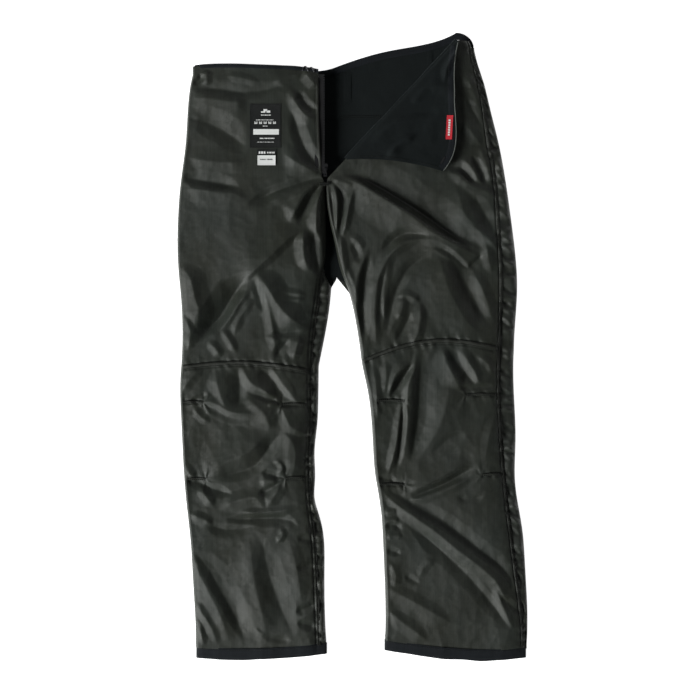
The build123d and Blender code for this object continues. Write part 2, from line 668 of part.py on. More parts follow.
# The woven side tab lies over the flap's binding, sewn in at the waist edge.
TAB_TURN = -3.0
TAB_X, TAB_Y = 178.0, 404.0
TAB_WIDTH, TAB_LENGTH = 12.0, 44.0
with BuildPart() as side_tab:
    with BuildSketch(Plane.XY.offset(FLAP_TOP + BINDING_THICK + 0.1)):
        with Locations(Location((TAB_X, TAB_Y, 0), (0, 0, TAB_TURN))):
            RectangleRounded(TAB_WIDTH, TAB_LENGTH, 1)
    extrude(amount=LABEL_THICK)
save(side_tab, "side_tab")
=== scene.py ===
import json
import math

import bpy
import numpy as np
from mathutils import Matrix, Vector


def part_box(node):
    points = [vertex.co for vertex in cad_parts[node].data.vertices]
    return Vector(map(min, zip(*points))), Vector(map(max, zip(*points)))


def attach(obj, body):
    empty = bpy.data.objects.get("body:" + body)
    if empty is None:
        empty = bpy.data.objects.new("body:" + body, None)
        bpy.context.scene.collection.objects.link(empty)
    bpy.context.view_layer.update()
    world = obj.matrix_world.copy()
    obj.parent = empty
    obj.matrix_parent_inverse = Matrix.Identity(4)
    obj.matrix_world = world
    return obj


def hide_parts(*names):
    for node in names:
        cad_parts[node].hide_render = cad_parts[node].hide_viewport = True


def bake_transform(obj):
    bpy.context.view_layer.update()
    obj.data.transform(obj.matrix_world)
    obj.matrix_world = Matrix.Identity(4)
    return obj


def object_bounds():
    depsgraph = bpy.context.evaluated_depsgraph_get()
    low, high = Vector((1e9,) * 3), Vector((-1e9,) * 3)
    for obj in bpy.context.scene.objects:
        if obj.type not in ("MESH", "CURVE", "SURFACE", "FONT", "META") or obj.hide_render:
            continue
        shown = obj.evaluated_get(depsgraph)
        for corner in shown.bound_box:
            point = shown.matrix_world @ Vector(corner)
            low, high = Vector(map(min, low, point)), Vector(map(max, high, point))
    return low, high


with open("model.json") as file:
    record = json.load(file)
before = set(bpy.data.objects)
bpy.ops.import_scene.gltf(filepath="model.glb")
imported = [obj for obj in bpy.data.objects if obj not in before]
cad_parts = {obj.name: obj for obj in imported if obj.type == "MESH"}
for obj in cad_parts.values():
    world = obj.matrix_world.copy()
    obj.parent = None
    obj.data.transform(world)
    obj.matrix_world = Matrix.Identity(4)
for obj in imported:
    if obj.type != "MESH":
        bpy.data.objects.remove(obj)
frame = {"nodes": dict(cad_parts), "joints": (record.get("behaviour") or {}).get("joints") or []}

cad_low, cad_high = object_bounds()
NODES = frame["nodes"]
MM = 0.001
JOINTS = {joint["name"]: joint for joint in frame["joints"]}


# ---- Outlines, read from the CAD nodes, in millimetres ----
def edge_ends(names):
    """The two ends of every mesh edge of some CAD nodes, seen from above."""
    found = []
    for name in names:
        mesh = NODES[name].data
        points = np.zeros(len(mesh.vertices) * 3, np.float32)
        mesh.vertices.foreach_get("co", points)
        edges = np.zeros(len(mesh.edges) * 2, np.int32)
        mesh.edges.foreach_get("vertices", edges)
        flat = points.reshape(-1, 3)[:, :2] / MM
        found.append(flat[edges.reshape(-1, 2)])
    ends = np.concatenate(found)
    return ends[:, 0], ends[:, 1]


def span(names, at, across=1):
    """Lowest and highest X of CAD nodes at each Y of at, or Y at each X with across=0."""
    a, b = edge_ends(names)
    start, stop = a[:, across], b[:, across]
    low = np.full(len(at), np.nan)
    high = np.full(len(at), np.nan)
    for i, level in enumerate(at):
        hit = (np.minimum(start, stop) <= level) & (np.maximum(start, stop) >= level)
        hit &= np.abs(stop - start) > 1e-6
        if hit.any():
            share = (level - start[hit]) / (stop[hit] - start[hit])
            crossing = a[hit, 1 - across] + (b[hit] - a[hit])[:, 1 - across] * share
            low[i], high[i] = crossing.min(), crossing.max()
    good = ~np.isnan(low)
    return np.interp(at, at[good], low[good]), np.interp(at, at[good], high[good])


def islands(name):
    """The boxes of a node's loose parts, in millimetres, from left to right."""
    mesh = NODES[name].data
    root = list(range(len(mesh.vertices)))

    def find(k):
        while root[k] != k:
            root[k] = root[root[k]]
            k = root[k]
        return k

    spots = {}
    for k, vertex in enumerate(mesh.vertices):
        same = spots.setdefault(tuple(round(c, 6) for c in vertex.co), k)
        root[find(k)] = find(same)
    for edge in mesh.edges:
        root[find(edge.vertices[0])] = find(edge.vertices[1])
    groups = {}
    for k, vertex in enumerate(mesh.vertices):
        groups.setdefault(find(k), []).append(tuple(vertex.co))
    boxes = []
    for points in groups.values():
        p = np.array(points) / MM
        boxes.append((p.min(axis=0), p.max(axis=0)))
    return sorted(boxes, key=lambda box: (round(box[0][0]), box[0][1]))


# ---- Shaping tools; lengths in millimetres ----
def smooth(t):
    """A step that eases in and out."""
    t = np.clip(t, 0, 1)
    return t * t * (3 - 2 * t)


def rounded(distance, width):
    """How a soft edge rises: 0 at the edge, 1 from width inwards."""
    t = 1 - np.clip(distance / width, 0, 1)
    return np.sqrt(np.maximum(1 - t * t, 0))


def noise(x, y, size, seed):
    """Smooth random field from -1 to 1, with bumps about that size."""
    count = 128
    table = np.random.default_rng(seed).uniform(-1, 1, (count, count))
    u, v = x / size, y / size
    i, j = np.floor(u).astype(int), np.floor(v).astype(int)
    fu, fv = smooth(u - i), smooth(v - j)
    i0, i1, j0, j1 = i % count, (i + 1) % count, j % count, (j + 1) % count
    low = table[i0, j0] * (1 - fu) + table[i1, j0] * fu
    high = table[i0, j1] * (1 - fu) + table[i1, j1] * fu
    return low * (1 - fv) + high * fv


def spline(points, steps=12):
    """A smooth curve through the points, as a dense line."""
    p = np.array(points, float)
    p = np.vstack([2 * p[0] - p[1], p, 2 * p[-1] - p[-2]])
    t = np.linspace(0, 1, steps, endpoint=False)[:, None]
    parts = []
    for a, b, c, d in zip(p, p[1:], p[2:], p[3:]):
        curve = 2 * b + (c - a) * t + (2 * a - 5 * b + 4 * c - d) * t**2
        parts.append((curve + (3 * b - a - 3 * c + d) * t**3) / 2)
    return np.vstack(parts + [p[-2:-1]])


def nearest(x, y, line):
    """Signed distance to a line, left of its travel positive, and the share of its length."""
    a, step = line[:-1], np.diff(line, axis=0)
    length = np.maximum(np.hypot(step[:, 0], step[:, 1]), 1e-6)
    run = np.concatenate([[0], np.cumsum(length)])
    best = np.full(x.shape, np.inf)
    share = np.zeros(x.shape)
    for (ax, ay), (sx, sy), size, done in zip(a, step, length, run):
        dx, dy = x - ax, y - ay
        t = np.clip((dx * sx + dy * sy) / size**2, 0, 1)
        gap = np.hypot(dx - t * sx, dy - t * sy)
        closer = gap < np.abs(best)
        side = np.where(sx * dy - sy * dx >= 0, gap, -gap)
        best = np.where(closer, side, best)
        share = np.where(closer, (done + t * size) / run[-1], share)
    return best, share


def facets(x, y, size, seed, stretch=1.0):
    """Flat faces that meet in soft creases, -1 to 1, like cloth that was crushed and let go."""
    count = 64
    rng = np.random.default_rng(seed)
    jitter = rng.uniform(0.05, 0.95, (count, count, 2))
    reach = rng.uniform(0.75, 1.3, (count, count))
    u = (x + 0.25 * size * noise(x, y, size * 1.3, seed + 7)) / size
    v = (y * stretch + 0.25 * size * noise(x, y, size * 1.3, seed + 8)) / size
    i, j = np.floor(u).astype(int), np.floor(v).astype(int)
    near = np.full(x.shape, 9.0)
    for di in (-1, 0, 1):
        for dj in (-1, 0, 1):
            a, b = (i + di) % count, (j + dj) % count
            du = u - i - di - jitter[a, b, 0]
            dv = v - j - dj - jitter[a, b, 1]
            near = np.minimum(near, np.sqrt(du * du + dv * dv + 0.03) * reach[a, b])
    return near * 2.2 - 1.1


CREST = 1.3  # how blunt a fold's ridge is


def folds(x, y, table):
    """The height that a table of folds adds: (height, left width, right width, points)."""
    rise, dip = np.zeros(x.shape), np.zeros(x.shape)
    for height, left, right, points in table:
        line = spline(points, 6)
        reach = max(left, right) + 6
        near = (x > line[:, 0].min() - reach) & (x < line[:, 0].max() + reach)
        near &= (y > line[:, 1].min() - reach) & (y < line[:, 1].max() + reach)
        if not near.any():
            continue
        gap, share = nearest(x[near], y[near], line)
        wide = np.where(gap > 0, left, right) + 2.0
        taper = smooth(share / 0.3) * smooth((1 - share) / 0.3)
        q = 1 - (np.sqrt(gap * gap + CREST * CREST) - CREST) / (wide * (0.35 + 0.65 * taper))
        tent = np.maximum(q, 0) ** 1.25 * taper * abs(height)
        bank = rise if height > 0 else dip
        bank[near] += tent ** 3
    return rise ** (1 / 3) - dip ** (1 / 3)


# ---- Outlines of the garment, on one scale of heights ----
YS = np.arange(-584, 586, 2.0)
# A side is read from its nodes between these heights only, as the ends slope beyond them.
LEFT_HEM, RIGHT_HEM, LEFT_TOP, BACK_TOP = -546, -540, 496, 505


def outline(names, lows, highs):
    """Both sides of some nodes at YS; each side runs straight on beyond its low and high end."""
    return [np.interp(np.clip(YS, low, high), YS, side)
            for side, low, high in zip(span(names, YS), lows, highs)]


LEFT_SIDE, LEFT_INNER = outline(("left_thigh_lining", "left_lower_lining"), (LEFT_HEM, LEFT_HEM),
                                (502, LEFT_TOP))
RIGHT_INNER, RIGHT_OUTER = outline(("right_thigh_lining", "right_lower_lining"),
                                   (RIGHT_HEM, -554), (570, 570))
LEFT_BACK = outline(("left_back_lining", "left_lower_back_lining"), (LEFT_HEM, LEFT_HEM),
                    (502, BACK_TOP))
RIGHT_BACK = outline(("right_back_lining", "right_lower_back_lining"), (RIGHT_HEM, -554),
                     (BACK_TOP, 570))
LIP = 7 * smooth((YS - 118) / 50) * smooth((314 - YS) / 14)  # the left edge turns in below the fly
LEFT_INNER = LEFT_INNER + LIP
LEFT_KNEE = JOINTS["left_knee_fold"]["pos_m"][1] / MM
RIGHT_KNEE = JOINTS["right_knee_fold"]["pos_m"][1] / MM
EDGE_Z = 2.0  # where the front meets the back at a side
EDGE_ROUND = 5.5  # how far in from a side the front is rounded


def at(line, y):
    """The X of an outline at heights y."""
    return np.interp(y, YS, line)


LEFT_FOLDS = (
    # Pleats below the waist and bands across the hip
    (2.8, 9, 9, ((-268, 512), (-270, 498), (-268, 480))),
    (-2.8, 8, 8, ((-284, 505), (-282, 494), (-296, 482))),
    (-3.1, 16, 14, ((-306, 480), (-250, 476), (-205, 470), (-160, 474), (-120, 488))),
    (4.5, 16, 34, ((-306, 462), (-255, 456), (-205, 450), (-170, 450))),
    (-4.8, 30, 24, ((-306, 424), (-262, 410), (-230, 393), (-198, 370), (-180, 362))),
    (3.9, 26, 18, ((-312, 350), (-262, 342), (-222, 340), (-188, 346))),
    (-5.0, 16, 14, ((-322, 314), (-275, 306), (-238, 299), (-205, 291))),
    (3.4, 14, 30, ((-318, 293), (-265, 288), (-222, 282), (-190, 270))),
    (2.5, 10, 12, ((-150, 484), (-118, 500), (-90, 504))),
    (2.0, 8, 8, ((-235, 500), (-205, 496), (-170, 488))),
    # Beside the fly
    (5.9, 20, 26, ((-152, 390), (-136, 362), (-108, 343), (-80, 328), (-56, 315))),
    (-5.6, 16, 14, ((-114, 440), (-104, 408), (-97, 385), (-84, 358), (-68, 335), (-57, 318))),
    (4.8, 12, 16, ((-116, 480), (-104, 450), (-86, 427), (-64, 420))),
    (-3.6, 10, 10, ((-104, 474), (-86, 447), (-64, 436))),
    (3.6, 12, 14, ((-92, 512), (-76, 492), (-62, 478))),
    # Rays from the fly's foot
    (-5.9, 18, 10, ((-53, 313), (-90, 305), (-128, 292), (-160, 279), (-200, 258))),
    (3.9, 14, 22, ((-56, 308), (-90, 296), (-128, 280), (-165, 260))),
    (6.2, 12, 26, ((-58, 305), (-84, 284), (-103, 255), (-120, 226))),
    (-7.0, 10, 14, ((-56, 303), (-77, 276), (-90, 250), (-100, 222))),
    (6.4, 9, 16, ((-54, 300), (-64, 270), (-67, 240), (-67, 200))),
    (7.0, 12, 16, ((-89, 222), (-91, 192), (-89, 165), (-80, 136))),
    (-6.4, 10, 14, ((-72, 220), (-70, 182), (-65, 152), (-62, 126))),
    # The long diagonal crease and the fan below it
    (6.5, 10, 34, ((-84, 216), (-100, 211), (-122, 197), (-150, 170), (-180, 142), (-212, 112))),
    (-11.5, 15, 34, ((-192, 138), (-205, 118), (-226, 88), (-246, 55), (-266, 34), (-288, 6))),
    (7.0, 26, 30, ((-322, 152), (-300, 126), (-291, 90), (-284, 62), (-292, 24))),
    (9.1, 30, 34, ((-186, 146), (-166, 122), (-150, 98), (-138, 78), (-114, 52), (-80, 30))),
    (-3.6, 8, 8, ((-182, 132), (-177, 108), (-168, 76), (-166, 58))),
    (4.2, 11, 14, ((-178, 126), (-160, 88), (-150, 48), (-145, 10), (-142, -22))),
    (-3.4, 7, 8, ((-158, 20), (-122, 26), (-90, 29))),
    (-3.9, 9, 9, ((-116, 14), (-132, -4), (-144, -24))),
    (4.8, 9, 14, ((-98, 20), (-103, -2), (-110, -26))),
    (3.1, 9, 9, ((-184, 108), (-206, 86), (-226, 55), (-250, 26))),
    (2.5, 8, 8, ((-178, 92), (-198, 70), (-214, 42), (-222, 14))),
    (2.8, 8, 8, ((-244, 34), (-228, 12), (-214, -14))),
    (3.1, 9, 9, ((-268, 10), (-250, -8), (-244, -22))),
    (2.8, 7, 7, ((-146, 103), (-115, 99), (-84, 95))),
    (2.5, 6, 6, ((-138, 88), (-112, 86), (-86, 88))),
    (3.4, 12, 14, ((-318, 60), (-300, 30), (-304, -10))),
    # Below the knee seam
    (2.5, 12, 10, ((-320, -92), (-302, -62), (-276, -40))),
    (4.6, 38, 16, ((-254, -38), (-250, -70), (-240, -100), (-224, -126))),
    (-4.0, 12, 22, ((-214, -36), (-210, -75), (-212, -116))),
    (5.0, 26, 14, ((-204, -36), (-188, -66), (-166, -80), (-138, -100))),
    (-4.8, 20, 22, ((-178, -34), (-148, -62), (-128, -90), (-104, -106))),
    (3.4, 12, 16, ((-152, -36), (-136, -60), (-122, -80), (-104, -100))),
    (4.8, 22, 30, ((-202, -90), (-176, -112), (-162, -126), (-155, -144), (-152, -158))),
    (2.4, 6, 6, ((-160, -113), (-147, -105), (-132, -102))),
    (-3.0, 7, 7, ((-196, -86), (-166, -92), (-135, -104), (-105, -108), (-80, -107))),
    (3.6, 16, 14, ((-136, -108), (-124, -130), (-112, -150), (-84, -162))),
    (4.2, 16, 22, ((-296, -106), (-268, -101), (-244, -112), (-222, -122), (-190, -124),
                   (-166, -133))),
    (-2.2, 7, 9, ((-290, -113), (-262, -111), (-242, -124), (-222, -132), (-186, -134))),
    (2.4, 8, 8, ((-296, -112), (-280, -130), (-262, -142))),
    (-2.6, 7, 7, ((-300, -104), (-285, -97), (-266, -88))),
    (6.5, 50, 26, ((-286, -240), (-240, -215), (-205, -200), (-180, -184), (-154, -158))),
    (-4.5, 22, 14, ((-264, -249), (-225, -236), (-190, -226), (-168, -206), (-150, -180),
                    (-128, -152))),
    (4.6, 14, 42, ((-130, -156), (-110, -180), (-106, -210), (-112, -240))),
    (2.8, 10, 10, ((-174, -250), (-155, -249), (-136, -249))),
    (-3.0, 7, 7, ((-170, -231), (-150, -238), (-134, -247))),
    (-3.0, 7, 8, ((-176, -273), (-155, -266), (-136, -252))),
    (3.0, 7, 7, ((-150, -212), (-136, -214), (-130, -226), (-140, -238))),
    (-4.6, 9, 12, ((-314, -250), (-285, -252), (-262, -262), (-220, -275))),
    (2.8, 10, 10, ((-320, -214), (-305, -232), (-288, -248))),
    (3.2, 10, 10, ((-284, -256), (-272, -275), (-256, -298))),
    (4.4, 16, 18, ((-250, -302), (-216, -286), (-186, -279), (-172, -287), (-164, -304))),
    (3.4, 13, 16, ((-134, -252), (-144, -275), (-160, -298))),
    (2.6, 8, 8, ((-220, -304), (-170, -308), (-130, -304), (-94, -295))),
    (-5.0, 9, 14, ((-240, -318), (-200, -320), (-150, -318), (-118, -322), (-98, -338))),
    (3.2, 9, 12, ((-304, -310), (-275, -320), (-258, -334))),
    (-3.0, 8, 14, ((-276, -328), (-235, -339), (-195, -335), (-166, -332))),
    # The shin
    (4.8, 34, 42, ((-194, -338), (-187, -395), (-179, -445), (-167, -500), (-156, -552))),
    (-4.0, 26, 30, ((-170, -350), (-156, -420), (-136, -480), (-106, -545))),
    (4.6, 28, 26, ((-306, -376), (-288, -412), (-266, -455), (-246, -495), (-226, -556))),
    (-3.4, 30, 12, ((-302, -372), (-270, -408), (-246, -450), (-216, -505), (-194, -562))),
    (3.4, 14, 12, ((-300, -468), (-282, -490), (-262, -520), (-250, -555))),
    (2.6, 9, 9, ((-296, -500), (-284, -525), (-274, -556))),
    (2.8, 16, 34, ((-122, -345), (-102, -420), (-94, -485))),
    (-2.2, 7, 7, ((-106, -410), (-88, -409), (-68, -401))),
    (-3.2, 8, 8, ((-108, -494), (-84, -485), (-66, -473))),
    (-2.8, 7, 8, ((-104, -511), (-82, -517), (-66, -522))),
    (-2.2, 7, 7, ((-104, -352), (-88, -358), (-68, -361))),
    (2.6, 7, 7, ((-134, -334), (-130, -350), (-142, -364))),
    (-2.0, 6, 7, ((-170, -537), (-140, -542), (-112, -546))),
    (2.0, 6, 6, ((-184, -518), (-170, -532), (-158, -534))),
)
RIGHT_FOLDS = (
    # The great fold from the fly's foot to the hip
    (9.0, 13, 50, ((-40, 312), (0, 306), (40, 284), (80, 259), (108, 242), (142, 216), (176, 196),
                   (214, 176), (244, 160))),
    (-7.5, 46, 10, ((-36, 317), (5, 318), (45, 297), (85, 273), (125, 248), (152, 230), (186, 208),
                    (226, 190), (252, 174))),
    # The arch under it
    (4.8, 14, 12, ((30, 74), (42, 110), (54, 142), (68, 168), (86, 185), (112, 196), (140, 198),
                   (165, 192), (190, 176), (214, 156), (230, 148))),
    (-4.2, 10, 11, ((146, 205), (112, 209), (88, 206), (70, 190), (54, 160))),
    (-3.2, 6, 7, ((146, 186), (170, 178), (190, 164), (206, 149), (224, 141))),
    (-3.2, 6, 6, ((242, 172), (228, 156), (212, 144))),
    (2.2, 6, 7, ((120, 178), (150, 180), (172, 168), (190, 150))),
    (-3.8, 10, 13, ((152, 172), (122, 158), (100, 139), (88, 118), (78, 95), (70, 60), (60, 14))),
    (6.0, 32, 50, ((152, 184), (166, 144), (176, 110), (190, 80), (208, 50), (240, 16))),
    (-4.4, 22, 16, ((172, 178), (196, 140), (212, 107), (228, 76), (260, 30))),
    (3.0, 14, 18, ((216, 146), (238, 112), (250, 80), (260, 44))),
    (2.8, 8, 8, ((80, 92), (102, 95), (126, 80))),
    (4.0, 10, 16, ((124, 86), (125, 52), (119, 22), (108, -4))),
    (-2.8, 8, 8, ((108, 66), (98, 40), (80, 8))),
    (2.8, 9, 9, ((93, 96), (92, 72), (82, 46))),
    # Small folds beside the fly's foot
    (4.0, 6, 8, ((-40, 306), (-30, 280), (-28, 250), (-31, 205))),
    (-4.4, 7, 7, ((-33, 302), (-20, 275), (-20, 240), (-24, 200))),
    (4.2, 8, 9, ((8, 304), (-2, 278), (-10, 245), (-20, 198))),
    (3.2, 8, 9, ((-40, 311), (-15, 303), (8, 295))),
    (3.0, 5, 6, ((-49, 302), (-45, 260), (-39, 222), (-35, 184))),
    (-3.0, 4, 4, ((-44, 292), (-37, 250), (-34, 210))),
    (3.4, 9, 9, ((-22, 210), (-20, 170), (-12, 122))),
    (2.2, 8, 8, ((-6, 202), (8, 196), (20, 178))),
    (-2.4, 7, 7, ((-4, 192), (8, 176), (14, 152))),
    (2.0, 9, 9, ((-4, 258), (40, 256), (90, 248))),
    (2.6, 10, 8, ((-14, 150), (2, 118), (12, 84))),
    # Long folds down the inside of the thigh
    (3.6, 12, 14, ((30, 184), (17, 150), (8, 110), (8, 60))),
    (-5.6, 12, 12, ((33, 176), (25, 140), (20, 100), (20, 55), (22, 6))),
    (4.0, 14, 16, ((54, 158), (47, 120), (43, 80), (42, 40), (44, -6))),
    (2.6, 9, 9, ((74, 176), (61, 130), (57, 90), (60, 40))),
    (-2.2, 7, 7, ((64, 150), (54, 110), (50, 70), (52, 20))),
    # Beside and under the flap
    (3.8, 10, 22, ((172, 322), (200, 316), (222, 297), (250, 286), (272, 266))),
    (-4.4, 9, 9, ((166, 330), (196, 332), (216, 314), (228, 298))),
    (3.4, 10, 11, ((196, 352), (216, 338), (230, 318), (242, 294))),
    (-3.2, 8, 8, ((220, 356), (236, 326), (248, 298))),
    (2.8, 7, 8, ((234, 372), (250, 332), (258, 296))),
    (4.4, 24, 44, ((184, 308), (196, 280), (204, 255), (214, 236), (246, 212))),
    (-3.4, 14, 16, ((222, 286), (238, 258), (252, 232), (268, 208))),
    (3.4, 12, 17, ((200, 236), (232, 216), (254, 198), (272, 172))),
    (3.2, 12, 12, ((246, 196), (252, 165), (257, 134))),
    (3.0, 10, 14, ((206, 420), (222, 395), (240, 370))),
    (-2.6, 9, 9, ((210, 460), (226, 430), (244, 400))),
    (2.8, 10, 12, ((206, 510), (220, 480), (236, 440))),
    # The knee
    (2.2, 9, 9, ((36, -28), (44, -80), (46, -140))),
    (2.2, 9, 9, ((60, -22), (62, -60), (58, -90))),
    (4.2, 10, 9, ((66, -92), (76, -60), (88, -42), (112, -30))),
    (-5.0, 8, 8, ((116, -30), (98, -52), (84, -74), (68, -96))),
    (6.2, 32, 9, ((120, 0), (113, -40), (103, -72), (101, -110), (99, -160), (88, -222))),
    (-5.0, 30, 12, ((128, -6), (123, -80), (120, -140), (106, -222))),
    (4.2, 7, 10, ((91, -94), (87, -135), (80, -185), (63, -244))),
    (-2.8, 6, 6, ((95, -96), (93, -140), (88, -190), (79, -236))),
    (3.6, 42, 24, ((180, -56), (173, -110), (158, -152), (136, -186), (108, -218))),
    (5.6, 20, 26, ((162, 2), (176, -30), (188, -58), (202, -82))),
    (-4.6, 14, 14, ((172, 0), (196, -36), (214, -56), (230, -76))),
    (3.4, 10, 12, ((196, 0), (216, -30), (228, -52), (240, -74))),
    (2.4, 7, 7, ((228, -16), (252, -32), (258, -54))),
    (-3.2, 6, 6, ((192, -78), (230, -76), (266, -74))),
    (-1.6, 9, 9, ((144, -200), (180, -170), (216, -161))),
    (2.0, 11, 11, ((264, -124), (252, -170), (244, -216))),
    (4.6, 28, 12, ((92, -274), (126, -258), (158, -243), (190, -226), (226, -213))),
    (-4.6, 9, 10, ((96, -285), (135, -270), (168, -256), (200, -238), (232, -222))),
    (3.0, 7, 11, ((100, -288), (140, -275), (175, -262), (205, -250), (226, -247))),
    (-1.8, 7, 7, ((190, -277), (215, -284), (244, -275))),
    (-3.2, 6, 6, ((40, -245), (62, -246), (84, -249))),
    # The shin
    (6.8, 22, 17, ((40, -248), (66, -279), (92, -300), (124, -322), (156, -345), (196, -378),
                   (236, -408), (266, -436), (288, -476), (306, -512))),
    (-4.4, 18, 9, ((54, -258), (96, -284), (130, -305), (164, -324), (196, -346), (236, -378),
                   (268, -402), (292, -430), (308, -474))),
    (-3.8, 9, 18, ((92, -310), (130, -348), (168, -382), (206, -418), (240, -456), (272, -496),
                   (302, -536))),
    (2.8, 8, 9, ((258, -434), (272, -466), (284, -494), (298, -524))),
    (-3.2, 8, 8, ((274, -460), (295, -482), (316, -496))),
    (3.0, 15, 24, ((62, -444), (100, -466), (140, -488), (190, -518))),
    (3.0, 13, 16, ((64, -486), (88, -508), (118, -530), (144, -550))),
    (1.8, 8, 8, ((122, -430), (134, -406), (154, -392))),
    (-1.8, 6, 6, ((96, -423), (110, -432), (124, -440))),
    (2.0, 9, 9, ((70, -400), (80, -425), (76, -450))),
    (2.2, 6, 6, ((56, -308), (70, -306), (84, -300))),
    (2.2, 6, 6, ((56, -328), (72, -322), (88, -326))),
    (-2.6, 6, 6, ((58, -336), (76, -330), (92, -342))),
    (2.2, 6, 6, ((60, -356), (74, -350), (94, -352))),
    (-2.4, 6, 6, ((60, -380), (74, -379), (90, -386))),
)


def crumple(x, y, seed):
    """Small random creases, with soft wide ones under them."""
    wide = 1.9 * facets(x, y, 95, seed + 3, 0.8)
    small = 0.62 * facets(x, y, 40, seed + 4)
    long = 0.42 * facets(x + 0.2 * y, y, 26, seed + 6, 0.5)
    fine = 0.24 * facets(x, y, 15, seed + 5, 1.2)
    return wide + small + long + fine


def knee_line(name, rise):
    """The knee seam's line: nearly straight, lifted in a shallow arc by rise at its middle."""
    low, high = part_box(name)
    x = np.linspace(low.x / MM + 0.5, high.x / MM - 0.5, 60)
    t = np.linspace(0, 1, 60)
    middle = (low.y + high.y) / 2 / MM
    return np.stack([x, middle + rise(t)], -1)


KNEE_LINES = {
    "left": knee_line("left_knee_seam", lambda t: 11.5 * np.sin(np.pi * t) + 1 - 7 * t),
    "right": knee_line("right_knee_seam",
                       lambda t: 26 * np.sin(np.pi * t) ** 0.9 - 16 * (1 - t) + 6 * t),
}


def dart_lines(name):
    """The lines of the stitched darts, one for each loose part of a node."""
    lines = []
    for low, high in islands(name):
        middle = (low[1] + high[1]) / 2
        line = np.linspace((low[0], middle), (high[0], middle), 16)
        line[:, 1] += 1.5 * np.sin(np.linspace(0, np.pi, 16))
        lines.append(line)
    return lines


DARTS = {leg: dart_lines(leg + "_knee_darts") for leg in ("left", "right")}
MIDDLES = {leg: float(np.mean([line[:, 0].mean() for line in lines]))
           for leg, lines in DARTS.items()}


def gathers(x, y, dart, middle):
    """Short wrinkles that fan out from a dart's inner end."""
    tip = dart[0] if abs(dart[0, 0] - middle) < abs(dart[-1, 0] - middle) else dart[-1]
    dx, dy = x - tip[0], y - tip[1]
    away = np.hypot(dx, dy)
    turn = np.arctan2(dy, dx * np.sign(middle - tip[0]))
    front = smooth((2.2 - np.abs(turn)) / 0.8)
    spokes = np.cos(5.5 * turn + tip[0]) + 0.4 * np.cos(9 * turn + tip[1])
    return 0.25 * away * np.exp(-away / 9) * spokes * front


def seam_relief(x, y, line, half, seed):
    """A sewn seam: a groove on each side of it, and small puckers square to it."""
    made = np.zeros(x.shape)
    reach = 26
    near = (x > line[:, 0].min() - reach) & (x < line[:, 0].max() + reach)
    near &= (y > line[:, 1].min() - reach) & (y < line[:, 1].max() + reach)
    if not near.any():
        return made
    gap, share = nearest(x[near], y[near], line)
    away = np.abs(gap)
    end = smooth(share / 0.04) * smooth((1 - share) / 0.04)
    groove = -1.5 * np.exp(-((away - half) / 1.7) ** 2)
    run = np.where(gap > 0, x[near] + 300, x[near] + 900) + y[near] * 0.35
    creases = 1.5 * noise(run, away * 0.25, 8, seed) * np.exp(-np.maximum(away - half, 0) / 8)
    creases = creases * smooth(away / half)
    made[near] = (groove + creases) * end
    return made


def pucker(distance, run, size, depth, seed):
    """Short creases square to a seam, which die away from it."""
    return depth * noise(distance * 0.35, run, size, seed) * np.exp(-np.abs(distance) / 11)


def seam_dip(distance):
    """The groove beside a side seam."""
    return 1.4 * np.exp(-((distance - 4.2) / 1.7) ** 2)


# The box round both labels: lowest and highest X, lowest and highest Y
care_low, care_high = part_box("care_label")
LABELS = (care_low.x / MM, care_high.x / MM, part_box("size_label")[0].y / MM, care_high.y / MM)
LABEL_BED = 24.1  # the labels lie on a flat stretch of lining


FOLD_GAIN = 1.12  # the folds' heights in the tables are raised by this
KNEE_HALF, DART_HALF = 4.8, 2.8  # half the width of a knee seam and of a dart
FOLDS = {"left": LEFT_FOLDS, "right": RIGHT_FOLDS}


def relief(x, y, leg, seed, fan):
    """A leg's folds, crumples, knee seam and darts; fan sets the depth of the darts' gathers."""
    made = FOLD_GAIN * folds(x, y, FOLDS[leg]) + crumple(x, y, seed)
    made += seam_relief(x, y, KNEE_LINES[leg], KNEE_HALF, seed + 24)
    for k, dart in enumerate(DARTS[leg]):
        made += seam_relief(x, y, dart, DART_HALF, seed + 25 + k)
        made += fan * gathers(x, y, dart, MIDDLES[leg])
    return made


def left_z(x, y):
    """Height of the left front's lining."""
    side, inner = at(LEFT_SIDE, y), at(LEFT_INNER, y)
    top = np.interp(y, (-580, -500, -300, -36, 200, 420, 520), (11, 15, 20, 23, 24.5, 25, 24.5))
    inner_z = np.interp(y, (-580, -480, 60, 120, 165, 275, 314), (7, 10, 13, 13, 7, 10, 24))
    outer = rounded(x - side, EDGE_ROUND)
    fall = 1 - rounded(inner - x, np.interp(y, (90, 165, 280, 320), (42, 19, 17, 42)))
    z = EDGE_Z + (top - EDGE_Z) * outer - (top - inner_z) * fall
    calm = smooth((x - side) / 14)
    z = z + calm * relief(x, y, "left", 11, 1.0)
    z = z + (pucker(inner - x, y, 7, 2.2, 31) - seam_dip(inner - x)) * smooth((150 - y) / 60)
    z = z + calm * (pucker(x - side, y, 16, 1.8, 32) + pucker(x - side, y, 6, 0.9, 33))
    gap_x = np.maximum(np.maximum(LABELS[0] - x, x - LABELS[1]), 0)
    gap_y = np.maximum(np.maximum(LABELS[2] - y, y - LABELS[3]), 0)
    z = z + (LABEL_BED - z) * smooth(1 - np.hypot(gap_x, gap_y) / 26)
    return np.maximum(z, EDGE_Z)


